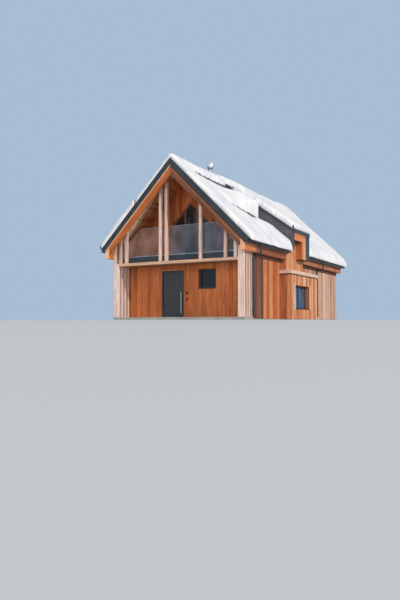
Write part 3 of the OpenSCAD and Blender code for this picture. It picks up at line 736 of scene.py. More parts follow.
@dataclass(frozen=True)
class Finish:
    """A procedural material, built on first use."""

    name: str

    def material(self) -> bpy.types.Material:
        """Makes the material on first use.

        Returns:
            The material.
        """
        if self.name in bpy.data.materials:
            return bpy.data.materials[self.name]
        made = bpy.data.materials.new(self.name)
        made.use_nodes = True
        self.dress(Graph(made.node_tree), made.node_tree.nodes["Principled BSDF"])
        return made

    def dress(self, graph: Graph, shader: Node) -> None:
        """Joins the finish to the shader."""
        raise NotImplementedError

    def where(self, graph: Graph) -> Socket:
        """Object coordinates."""
        return graph.add("ShaderNodeTexCoord").outputs["Object"]

    def attribute(self, graph: Graph, name: str) -> Socket:
        """A value that each solid of the mesh carries."""
        return graph.add("ShaderNodeAttribute", attribute_name=name).outputs["Fac"]

    def apply(self, graph: Graph, shader: Node, effect: Effect, values: dict[str, object],
              relief: float) -> None:
        """Places an effect in the material and joins its outputs.

        Args:
            graph: The material's nodes.
            shader: The material's shader.
            effect: The group to place.
            values: What each of its inputs gets.
            relief: Depth of the bump in metres.
        """
        placed = graph.add("ShaderNodeGroup", node_tree=effect.tree())
        for key, value in values.items():
            graph.feed(placed.inputs[key], value)
        graph.feed(shader.inputs["Base Color"], placed.outputs["Color"])
        graph.feed(shader.inputs["Roughness"], placed.outputs["Roughness"])
        bump = graph.add("ShaderNodeBump")
        bump.inputs["Distance"].default_value = relief
        graph.feed(bump.inputs["Height"], placed.outputs["Height"])
        graph.feed(shader.inputs["Normal"], bump.outputs["Normal"])


@dataclass(frozen=True)
class Timber(Finish):
    """Boards or planed timber in deep, base and pale tones; even gives CAD nodes a tone of their own."""

    tones: str = "783a1a b66436 da9262"
    run: Run = Run.UPRIGHT
    weather: float = 0.0
    even: float | None = None
    # Belts of other tones along Y, which paint light and shade on the boards.
    zones: tuple[Point, ...] = ()
    zone_tones: str = ""
    zone_lean: float = 0.0
    zone_blur: float = 0.04

    def cover(self, graph: Graph) -> Socket:
        """How far boards take the zone tones, which paint light and shade: the sum of belts along Y, each a
        start, an end and a weight.

        With a lean, the belts count from both verges inwards and slant with the distance from the ridge.

        Args:
            graph: The material's nodes.

        Returns:
            From 0 outside the belts to a belt's weight inside it.
        """
        x, run, _ = self.where_split(graph)
        if self.zone_lean:
            slant = graph.times(graph.maths("ABSOLUTE", x), self.zone_lean)
            run = graph.minus(graph.times(graph.maths("ABSOLUTE", run), -1.0), slant)
        total: Socket | float = 0.0
        for start, end, weight in self.zones:
            rise = graph.ease(run, start - self.zone_blur, start + self.zone_blur)
            fall = graph.ease(run, end - self.zone_blur, end + self.zone_blur, weight, 0.0)
            total = graph.plus(graph.times(rise, fall), total, True)
        return total

    def where_split(self, graph: Graph) -> list[Socket]:
        """The three parts of the object coordinates."""
        return list(graph.split(self.where(graph)))

    def dress(self, graph: Graph, shader: Node) -> None:
        """Turns the coordinates so that the grain runs along the piece, then places the grain.

        Args:
            graph: The material's nodes.
            shader: The material's shader.
        """
        at = self.where(graph)
        tones: list[object] = shades(self.tones)
        if self.zones:
            cover = self.cover(graph)
            tones = [graph.blend(cover, *pair) for pair in zip(tones, shades(self.zone_tones))]
        if self.run is Run.RAKE:
            x, y, z = self.where_split(graph)
            at = graph.join(graph.maths("ABSOLUTE", x), y, z)
        if self.run is not Run.UPRIGHT:
            turn = graph.add("ShaderNodeMapping")
            graph.feed(turn.inputs["Vector"], at)
            turn.inputs["Rotation"].default_value = self.run.value
            at = turn.outputs[0]
        tone = self.attribute(graph, "tone") if self.even is None else self.even
        values = {"Vector": at, "Tone": tone, "Shift": self.attribute(graph, "shift"),
                  "Weather": self.weather}
        self.apply(graph, shader, Grain(), {**values, **dict(zip(Grain.colours, tones))}, 0.0025)
        shader.inputs["Specular IOR Level"].default_value = 0.3


@dataclass(frozen=True)
class Sheet(Finish):
    """Coated sheet metal, paint, slate or plastic, in its own colour and that of its dust."""

    tones: str = "343a40 707478"
    amount: float = 0.25
    gloss: float = 0.32
    metallic: float = 0.0
    relief: float = 0.0012
    toned: bool = False

    def dress(self, graph: Graph, shader: Node) -> None:
        """Places the coat; only slates and the like read a tone.

        Args:
            graph: The material's nodes.
            shader: The material's shader.
        """
        base, dust = shades(self.tones)
        tone = self.attribute(graph, "tone") if self.toned else 0.5
        values = {"Vector": self.where(graph), "Tone": tone, "Base": base, "Dust": dust,
                  "Amount": self.amount, "Gloss": self.gloss}
        self.apply(graph, shader, Coat(), values, self.relief)
        shader.inputs["Metallic"].default_value = self.metallic


@dataclass(frozen=True)
class Snow(Finish):
    """Settled snow, in its own colour and that of its hollows."""

    tones: str = "e9e8e9 d8dae1"

    def dress(self, graph: Graph, shader: Node) -> None:
        """Places the powder.

        Args:
            graph: The material's nodes.
            shader: The material's shader.
        """
        base, hollow = shades(self.tones)
        values = {"Vector": self.where(graph), "Base": base, "Hollow": hollow}
        self.apply(graph, shader, Powder(), values, 0.012)
        shader.inputs["Specular IOR Level"].default_value = 0.25


@dataclass(frozen=True)
class Glass(Finish):
    """Clear glass over a dark room, with a faint uneven film, which may turn to a second tint along X."""

    film: str = "464a50"
    clear: float = 0.45
    dense: float = 0.7
    speckle: float = 9.0
    turn_x: tuple[float, float] = (0.0, 1.0)

    def dress(self, graph: Graph, shader: Node) -> None:
        """The film's noise sets how much shows through, from clear to dense.

        Args:
            graph: The material's nodes.
            shader: The material's shader.
        """
        at = self.where(graph)
        film = graph.noise(at, (self.speckle, self.speckle, self.speckle * 0.6), 5.0)
        tint, *other = shades(self.film)
        if other:
            tint = graph.blend(graph.ease(graph.split(at)[0], *self.turn_x), tint, other[0])
        stained = graph.blend(graph.ease(film, 0.3, 0.7, 0.35, 0.0), tint, (0.02, 0.02, 0.025, 1.0))
        graph.feed(shader.inputs["Base Color"], stained)
        graph.feed(shader.inputs["Alpha"], graph.ease(film, 0.32, 0.68, self.clear, self.dense))
        graph.feed(shader.inputs["Roughness"], graph.ease(film, 0.3, 0.7, 0.02, 0.09))
        shader.inputs["IOR"].default_value = 1.5


LARCH = Timber("oiled_larch")
LARCH_BAY = Timber("larch_bay_boards", "783a1a c47a4e e8b084")
LARCH_REAR = Timber("larch_faded_boards", "865c4a c4947a e2bea8", weather=0.25)
LARCH_PORCH = Timber("larch_porch_boards", "864420 c06c3a de8e5c")
# A dark belt on the right wall's front boards, from the porch corner back about a metre, is painted shadow.
LARCH_SIDE = Timber("larch_side_boards", zones=((-5.6, -5.05, 0.5), (-5.05, -4.45, 0.92)),
                    zone_tones="34201a 54362c 7c5a4a", zone_blur=0.07)
PALE_UPRIGHT = Timber("pale_larch_upright", "ba9282 e0c2b4 f6e4da")
PALE_RAKE = Timber("pale_larch_rake", "b07e5e d6a682 eeceb2", Run.RAKE, even=0.5)
PALE_X = Timber("pale_larch_beam", "b08468 d4ac8e ecd0b8", Run.ALONG_X, even=0.5)
PALE_Y = Timber("pale_larch_edge", "b28a74 d8b8a2 f0dccc", Run.ALONG_Y, even=0.6)
# The pale belts near both verges, slanting with the distance from the ridge, are painted sunlight on the
# lining: a broad one at the edge and a thin streak further in.
SOFFIT = Timber("larch_lining", "8c4822 c87644 e29c6a", Run.ALONG_Y,
                zones=((-9.0, -6.42, 1.0), (-6.28, -6.2, 0.7)),
                zone_tones="d6a47a f4caa2 fce0c2", zone_lean=0.3, zone_blur=0.03)
BARGE = Timber("larch_barge", "803e1a b86230 ce7c46", Run.RAKE)
# Barge boards of the right slope: the same larch in darker tones, as painted shade under the trim and snow.
BARGE_PAINTED_SHADE = Timber("larch_barge_painted_shade", "583424 885438 aa7656", Run.RAKE)
FASCIA = Timber("larch_fascia", "9c522a d6804c f0ac7c", Run.ALONG_Y)
# Past its first metre at the front, the box side takes darker tones: painted shade from the gutter.
EAVE_BOX = Timber("larch_eave_box", "9c522a da8450 f6be96", Run.ALONG_Y, zones=((-5.45, 9.0, 0.8),),
                  zone_tones="542e22 8e503a ba7054")
# Darker larch for boards that stand in shade: the darkness is painted shade.
LARCH_PAINTED_SHADE = Timber("larch_painted_shade", "422416 603822 784c32", Run.ALONG_Y)
SHEATHING = Timber("dark_sheathing", "341e12 54321e 6e462c", even=0.4)
FLOORING = Timber("floor_boards", "6e4c32 96704e b48e68", Run.ALONG_Y, even=0.5)
SASH_TIMBER = Timber("sash_timber", "5a321c 8a5434 aa704c", even=0.5)
DARK_METAL = Sheet("anthracite_sheet", "242a30 52585e", 0.2)
DOOR_PAINT = Sheet("anthracite_paint", "303436 5a5c5c", 0.12, 0.36, relief=0.0006)
FRAME_PAINT = Sheet("dark_frame_paint", "2c2c2e 585654", 0.15, 0.34, relief=0.0006)
STEEL = Sheet("brushed_steel", "b2b4b8 ced0d2", 0.3, 0.22, metallic=1.0, relief=0.0004)
ROOF_METAL = Sheet("dark_roof_sheet", "3a3c42 6c6e74", 0.3, 0.38)
SLATE = Sheet("dark_slates", "484852 767680", 0.3, 0.5, relief=0.003, toned=True)
FLUE_METAL = Sheet("flue_steel", "969ea8 c4c8ce", 0.4, 0.25, metallic=0.8)
BLACK = Sheet("black_housing", "1a1a1c 464648", 0.15, 0.4, relief=0.0004)
LENS = Sheet("opal_lens", "ece8de ceccc6", 0.2, 0.2, relief=0.0002)
CONCRETE = Sheet("grey_concrete", "969490 b8b6b2", 0.6, 0.7, relief=0.004)
SNOW = Snow("roof_snow")
# Glass of the bay window turns blue along X: a painted reflection of the sky.
WINDOW_GLASS = Glass("window_glass", "1e242c 426e92", 0.82, 0.92, 3.0, (3.3, 3.5))
GABLE_GLASS = Glass("gable_glass", "343436", 0.6, 0.8, 4.0)
RAIL_GLASS = Glass("rail_glass", "9e7664 707480", 0.35, 0.6, 2.5, (-1.0, 0.6))

NODE_FINISH: dict[Finish, str] = {
    SHEATHING: "left_wall right_wall_front right_wall_rear right_wall_over_bay bay_front_wall bay_side_walls "
               "rear_wall entrance_wall_left entrance_wall_right entrance_wall_over gable_wall dormer_front "
               "dormer_hood",
    ROOF_METAL: "left_roof right_roof_front right_roof_rear dormer_cheeks dormer_roof",
    DARK_METAL: "balcony_upstand verge_trims gutters downpipes",
    FRAME_PAINT: "door_frame ground_windows rear_window",
    WINDOW_GLASS: "ground_window_glass rear_window_glass",
    CONCRETE: "floor_slab", PALE_Y: "bay_roof", PALE_X: "floor_beam", FLOORING: "upper_floor",
    DOOR_PAINT: "entrance_door", STEEL: "door_pull", RAIL_GLASS: "balcony_glass", SASH_TIMBER: "gable_window",
    GABLE_GLASS: "gable_glass", FLUE_METAL: "flue", BLACK: "wall_fixtures gable_lamp",
}


def dress_nodes() -> None:
    """Gives each CAD node that still shows its finish."""
    for finish, names in NODE_FINISH.items():
        for name in names.split():
            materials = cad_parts[name].data.materials
            materials.clear()
            materials.append(finish.material())


# Boards


@dataclass(frozen=True)
class WallFace:
    """One boarded face: place, spans, foot, head and openings, and how deep and varied its tint is."""

    name: str
    plane: Plane
    spans: tuple[float, ...]
    foot: Line | float
    head: Line | float
    finish: Timber = LARCH_BAY
    tone: float = 0.5
    spread: float = 0.3
    holes: tuple[Hole, ...] = ()
    breaks: tuple[float, ...] = ()


@dataclass
class Cladding:
    """Upright larch boards on every outer wall, with open joints and slightly uneven faces."""

    width: float = 0.165
    depth: float = 0.02
    joint: float = 0.007
    chamfer: float = 0.003
    foot_z: float = 0.05
    porch_foot_z: float = 0.125
    wing_foot_z: float = 3.2186
    gable_half: float = 1.25
    gable_foot_z: float = 2.76
    gable_apex_z: float = 5.34
    clear: float = 0.003
    hood_board: float = 0.016

    def faces(self) -> list[WallFace]:
        """Lists every boarded face of the house.

        Returns:
            The faces, in the order that seeds their random draws.
        """
        d, low, box = self.depth, self.foot_z, H.box_z - self.clear
        over, under, hood = H.bay_top_z + self.clear, H.bay_head_z - self.clear, H.hood_z - self.hood_board
        laps = [Hole(y, y + H.bay_lap, H.bay_head_z, H.bay_top_z) for y in (H.bay_y0 - H.bay_lap, H.bay_y1)]
        small, behind = (tuple(Hole(*sides) for sides in group) for group in (LEFT_WINDOWS, REAR_WINDOWS))
        porch = (Hole(*DOORWAY), Hole(*PORCH_WINDOW))
        gable = Hole(-self.gable_half, self.gable_half, self.gable_foot_z, gabled(self.gable_apex_z))
        pier = Hole(H.pier_y, H.dormer_y1 + d, H.pier_z - 0.02, H.hood_z)
        slope = gabled(H.under_ridge_z - 0.002)
        inner, wing, right = (-H.inner_x, H.inner_x), (H.dormer_x + d, H.hood_x), flank(H.side_x)
        bay_side, dormer_side = (H.side_x, H.bay_x), (H.side_x, H.dormer_x)
        return [
            WallFace("porch_boards", front(H.entrance_y), inner, self.porch_foot_z, H.storey_z - self.clear,
                     LARCH_PORCH, 0.5, 0.22, porch),
            WallFace("right_front_boards", right, (H.entrance_y, H.bay_y0 - d), low, box,
                     LARCH_SIDE, 0.5, 0.42, (laps[0],)),
            WallFace("right_rear_boards", right, (H.bay_y1 + d, H.rear_y), low, box,
                     LARCH_REAR, 0.6, 0.4, (laps[1],)),
            WallFace("over_bay_boards", right, (H.bay_y0, H.dormer_y0 - d, H.dormer_y1 + d, H.bay_y1),
                     over, box),
            WallFace("bay_boards", flank(H.bay_x), (H.bay_y0 - d, H.bay_y1 + d), low, under,
                     LARCH_BAY, 0.62, 0.4, (Hole(*BAY_WINDOW),)),
            WallFace("bay_front_boards", front(H.bay_y0), bay_side, low, under, tone=0.35),
            WallFace("bay_back_boards", rear(H.bay_y1), bay_side, low, under),
            WallFace("left_boards", flank(-H.side_x), (H.entrance_y, H.rear_y), low, box,
                     LARCH, 0.5, 0.36, small),
            WallFace("rear_boards", rear(H.rear_y), (-H.side_x, H.side_x), low, slope,
                     LARCH_REAR, 0.45, 0.36, behind, (0.0,)),
            WallFace("gable_boards", front(H.gable_y), inner, H.upper_z + 0.002, slope,
                     LARCH_PORCH, 0.4, 0.24, (gable,), (0.0,)),
            WallFace("dormer_boards", flank(H.dormer_x), (H.dormer_y0, H.dormer_y1), over, hood,
                     LARCH_BAY, 0.66, 0.2, (pier,)),
            WallFace("dormer_front_return", front(H.dormer_y0), dormer_side, over, box),
            WallFace("dormer_back_return", rear(H.dormer_y1), dormer_side, over, box),
            WallFace("pier_side_boards", front(H.pier_y), wing, H.pier_z, hood, LARCH_PORCH, 0.55, 0.15),
            WallFace("wing_inner_boards", rear(H.dormer_y0 + H.cheek_t), wing, self.wing_foot_z, hood,
                     LARCH_PORCH, 0.5, 0.2),
            WallFace("pier_face_boards", flank(H.hood_x), (H.pier_y - d, H.jamb_y), H.pier_z - 0.012,
                     H.hood_z - 0.012, LARCH_BAY, 0.9, 0.08),
        ]

    def build(self) -> None:
        """Boards each face."""
        for seed, face in enumerate(self.faces()):
            rng = np.random.default_rng(100 + seed)
            solids = Solids()
            breaks = [*face.breaks, *[h.start for h in face.holes], *[h.end for h in face.holes]]
            for start, end in zip(face.spans[::2], face.spans[1::2]):
                edges = board_edges(start, end, self.width, rng, breaks)
                strips = lay_strips(edges, face.foot, face.head, face.holes)
                count = len(strips)
                depth = self.depth - rng.choice([0.0, 0.0, 0.004], count)
                tone = np.clip(face.tone + face.spread * rng.uniform(-1.0, 1.0, count), 0.0, 1.0)
                solids.boards(face.plane, strips, depth, self.chamfer, self.joint, tone, rng.random(count))
            slot = "weathered_larch" if face.finish is LARCH_REAR else "larch_boards"
            solids.make(face.name, face.finish, slot)


@dataclass
class Screens:
    """Board screens on both sides of the porch and the posts before the loggia, planed and chamfered."""

    pitch: float = 0.241667
    board_t: float = 0.1
    count: int = 4
    chamfer: float = 0.006
    post_x: tuple[float, ...] = (-2.92, -2.62, -0.765, -0.46, 1.26, 2.445, 2.905)

    def build(self) -> None:
        """Screens of paired boards, and posts with heads cut to the lining."""
        rng = np.random.default_rng(7)
        for name, side in (("left_screen", -1.0), ("right_screen", 1.0)):
            solids = Solids()
            edges = np.sort(side * np.array([H.inner_x, (H.inner_x + H.side_x) / 2, H.side_x]))
            for row in range(self.count):
                strips = lay_strips(edges, H.slab_z, gabled(H.under_ridge_z))
                if side < 0 and row == 0:
                    strips[1, 4:] = H.beam_top_z
                plane = front(H.front_y + row * self.pitch + self.board_t)
                solids.boards(plane, strips, self.board_t, self.chamfer, 0.002, rng.uniform(0.35, 0.8, 2),
                              rng.random(2), both=True)
            solids.make(f"{name}_boards", PALE_UPRIGHT, "pale_larch", name)
        solids = Solids()
        centres = np.array(self.post_x)
        a, b = centres - H.post_w / 2, centres + H.post_w / 2
        foot = np.full_like(a, H.beam_top_z)
        strips = np.stack([a, b, foot, foot, H.under(a), H.under(b)], axis=1)
        solids.boards(front(H.front_y + H.post_d), strips, H.post_d, self.chamfer, 0.0,
                      rng.uniform(0.35, 0.75, len(a)), rng.random(len(a)), both=True)
        solids.make("post_timbers", PALE_UPRIGHT, "pale_larch", "front_posts")


@dataclass
class Eaves:
    """Boards of the roof lining, the eave boxes and the barges, the laths over them, and dark boards that
    paint the shadow under the eave boxes and the bay slab.
    """

    board_w: float = 0.14
    joint: float = 0.005
    chamfer: float = 0.003
    box_t: float = 0.02
    box_gap: float = 0.004
    tight: float = 0.0006
    lath_drop: float = 0.035
    lath_t: float = 0.036
    shadow_strip_z: float = 2.62
    shadow_strip_t: float = 0.02
    shadow_strip_out: float = 0.031

    def lining(self) -> None:
        """Lining boards along Y, laid side by side down both slopes, each in a few lengths."""
        rng = np.random.default_rng(21)
        solids = Solids()
        edges = np.linspace(0.0, H.side_x, int(H.side_x / (self.board_w / ROOT_2)) + 1)
        v, half, c = H.lining_t * ROOT_2, self.joint / 2, self.chamfer
        for side, y0, y1 in SLOPES:
            for a, b in zip(edges[:-1], edges[1:]):
                cuts = [y0, *np.sort(rng.uniform(y0 + 0.6, y1 - 0.6, int((y1 - y0) / 4.5))), y1]
                x = np.array([a + half, a + half + c, b - half - c, b - half, b - half, a + half])
                z = H.under_ridge_z + 0.0003 - x + np.array([c * 1.4, 0.0, 0.0, c * 1.4, v, v])
                spans = np.array([(s + 0.001, e - 0.001) for s, e in zip(cuts[:-1], cuts[1:])])
                rings = np.empty((len(spans), 2, 6, 3))
                rings[..., 0], rings[..., 1], rings[..., 2] = side * x, spans[:, :, None], z
                solids.rings(rings, rng.uniform(0.25, 0.8, len(spans)), rng.random(len(spans)))
        solids.make("lining_boards", SOFFIT, "soffit_boards", "roof_lining")

    def boxes(self) -> None:
        """Eave boxes: two rows of fascia boards, two rows under them, and their end and inner boards."""
        rng = np.random.default_rng(22)
        solids = Solids()
        t, half = self.box_t, self.box_gap / 2
        out, low, head = H.box_x - t, H.box_z, H.roof_under_z - H.box_x - self.tight
        middle, split = (low + head) / 2, (H.side_x + out) / 2
        rows = (((out, H.box_x), (low, middle - half)), ((out, H.box_x), (middle + half, head)),
                ((H.side_x, split - half), (low, low + t)), ((split + half, out - 0.001), (low, low + t)))
        inner = ((H.side_x, H.side_x + t), (low + t + 0.001, H.under_ridge_z - H.side_x))
        for side, y0, y1 in SLOPES:
            runs = [(row, [y0 + t, *np.sort(rng.uniform(y0 + 1.0, y1 - 1.0, int((y1 - y0) / 5.0))), y1 - t])
                    for row in rows]
            runs += [(inner, [y + t, y + H.verge_y - H.rear_y]) for y in (-H.verge_y, H.rear_y - 2 * t)
                     if y0 <= y <= y1]
            for ((xa, xb), (za, zb)), cuts in runs:
                starts, ends = (np.array([(side * (xa + xb) / 2, y + gap, (za + zb) / 2) for y in ys])
                                for ys, gap in ((cuts[:-1], 0.0015), (cuts[1:], -0.0015)))
                tone = rng.uniform(0.3, 0.75, len(starts))
                solids.bars(starts, ends, X, xb - xa, zb - za, tone=tone, shift=rng.random(len(starts)))
            strips = lay_strips(np.sort(side * np.array([H.side_x, H.box_x])), low,
                                gabled(H.roof_under_z - self.tight))
            # End boards take the palest tone, which paints the sunlit front ends of the boxes.
            for plane in (front(y0 + t), rear(y1 - t)):
                solids.boards(plane, strips, t, tone=1.0, shift=rng.random(1))
        solids.make("eave_box_boards", EAVE_BOX, "soffit_boards", "eave_boxes")

    def rakes(self) -> None:
        """Barge boards in two rows at both verges, with laths over them; on the right slope boards and laths
        take darker finishes, as painted shade.
        """
        left_boards, right_boards, left_laths, right_laths = (Solids() for _ in range(4))
        edges = np.array([-H.side_x + 0.0005, 0.0, H.side_x - 0.0005])
        foot, middle = H.under_ridge_z - H.barge_h, H.under_ridge_z - H.barge_h / 2
        for row, (low, high) in enumerate(((foot, middle - 0.002), (middle + 0.002, H.under_ridge_z))):
            strips = lay_strips(edges, gabled(low), gabled(high))
            faces = (front(H.barge_t - H.verge_y), strips), (rear(H.verge_y - H.barge_t), strips[::-1])
            for plane, (left, right) in faces:
                left_boards.boards(plane, left[None], H.barge_t, 0.003, 0.0, 0.4 + 0.2 * row, 0.2 + row)
                right_boards.boards(plane, right[None], H.barge_t, 0.003, 0.0, 0.3 + 0.4 * row, 0.7 + row)
        reach = np.array([-H.box_x, 0.0, H.box_x])
        strips = lay_strips(reach, gabled(H.under_ridge_z - self.lath_drop),
                            gabled(H.roof_under_z - self.tight))
        for plane, (left, right) in ((front(-H.verge_y), strips), (rear(H.verge_y), strips[::-1])):
            left_laths.boards(plane, left[None], self.lath_t, 0.004, 0.0, 0.7, 0.2)
            right_laths.boards(plane, right[None], self.lath_t, 0.004, 0.0, 0.4, 0.7)
        left_boards.make("barge_planks", BARGE, "soffit_boards", "barge_boards")
        right_boards.make("barge_planks_right", BARGE_PAINTED_SHADE, "soffit_boards")
        left_laths.make("rake_laths", PALE_RAKE, "pale_larch")
        right_laths.make("rake_laths_right", LARCH_PAINTED_SHADE, "soffit_boards")

    def shadow_strips(self) -> None:
        """Dark boards along the heads of the side walls and the bay, under the eave boxes and the slab:
        painted shadow under them.
        """
        solids = Solids()
        t, x, gap = self.shadow_strip_t, H.side_x + self.shadow_strip_out, self.shadow_strip_t + 0.002
        low, high = self.shadow_strip_z, H.box_z - 0.002
        z = (low + high) / 2
        for side, y0, y1 in ((-1.0, H.entrance_y, H.rear_y), (1.0, H.entrance_y, H.dormer_y0 - gap),
                             (1.0, H.dormer_y1 + gap, H.rear_y)):
            solids.bars((side * x, y0, z), (side * x, y1, z), X, t, high - low, tone=0.4, shift=y1)
        low, high = H.bay_head_z - 0.045, H.bay_head_z - 0.001
        x, y, z = H.bay_x + self.shadow_strip_out, H.bay_y0 - self.shadow_strip_out, (low + high) / 2
        solids.bars((x, y, z), (x, H.bay_y1 + t, z), X, t, high - low, tone=0.4)
        solids.bars((H.side_x + t, y, z), (x - t / 2 - 0.001, y, z), Y, t, high - low, tone=0.4)
        solids.make("painted_shadow_boards", LARCH_PAINTED_SHADE, "soffit_boards")

    def build(self) -> None:
        """All the boards of the eaves."""
        for part in (self.lining, self.boxes, self.rakes, self.shadow_strips):
            part()


@dataclass
class Hood:
    """The boxed hood over the dormer wall with its pier, corner sheets and the cap on the roof's edge."""

    board_t: float = 0.016
    soffit_t: float = 0.014
    sheet_t: float = 0.008
    cap_w: float = 0.06

    def boards(self) -> None:
        """Two rows of boards along the hood's face, from the wing to the jamb."""
        solids = Solids()
        y0, x = H.dormer_y0 + H.cheek_t, H.hood_x + self.board_t / 2
        foot, head = H.hood_z - 0.014, float(H.dormer_under(H.hood_x + self.board_t)) - 0.002
        middle = (foot + head) / 2
        for tone, a, b in ((0.62, foot, middle - 0.002), (0.5, middle + 0.002, head)):
            z = (a + b) / 2
            solids.bars((x, y0, z), (x, H.jamb_y, z), X, self.board_t, b - a, 0.003, tone, a)
        solids.make("hood_boards", FASCIA, "soffit_boards")

    def soffits(self) -> None:
        """Dark boards along Y under the hood and under the pier; their darkness is painted shade."""
        solids = Solids()
        edges = np.linspace(H.dormer_x + 0.022, H.hood_x, 4)
        middle, zero = (edges[:-1] + edges[1:]) / 2, np.zeros(3)
        for z, *ys in ((H.hood_z, H.dormer_y0 + H.cheek_t + 0.021, H.pier_y - 0.021),
                       (H.pier_z, H.pier_y, H.dormer_y1)):
            starts, ends = (np.stack([middle, zero + y, zero + z - self.soffit_t / 2], axis=1) for y in ys)
            solids.bars(starts, ends, X, edges[1] - edges[0] - 0.004, self.soffit_t, tone=0.3, shift=middle)
        solids.make("hood_soffit", LARCH_PAINTED_SHADE, "soffit_boards")

    def sheets(self) -> None:
        """Dark sheets on the wing's edge and the pier's rear corner, and a bent cap on the roof's edge."""
        solids = Solids()
        t, foot = self.sheet_t, H.pier_z - 0.02
        head = float(H.dormer_under(H.hood_x + t)) - 0.002
        sheets = ((flank(H.hood_x), H.dormer_y0 - t, H.dormer_y0 + H.cheek_t - 0.002, H.wing_z),
                  (flank(H.hood_x), H.jamb_y + 0.002, H.dormer_y1 + t, foot),
                  (rear(H.dormer_y1), H.tip_x + 0.004, H.hood_x + t, foot))
        for plane, a, b, low in sheets:
            solids.boards(plane, np.array([[a, b, low, low, head, head]]), t)
        x, z, under = H.edge_x, H.edge_z, float(H.dormer_under(H.edge_x)) - 0.004
        cap = [(x - self.cap_w, z + 0.0455), (x + 0.012, z + 0.006), (x + 0.012, under),
               (x + 0.004, under), (x + 0.004, z - 0.002), (x - self.cap_w, z + 0.0405)]
        solids.profile(cap, 1, H.dormer_y0 - 0.02, H.dormer_y1 + 0.02)
        solids.make("hood_sheets", DARK_METAL, "dark_metal")

    def build(self) -> None:
        """All of the hood."""
        for part in (self.boards, self.soffits, self.sheets):
            part()


# Roof


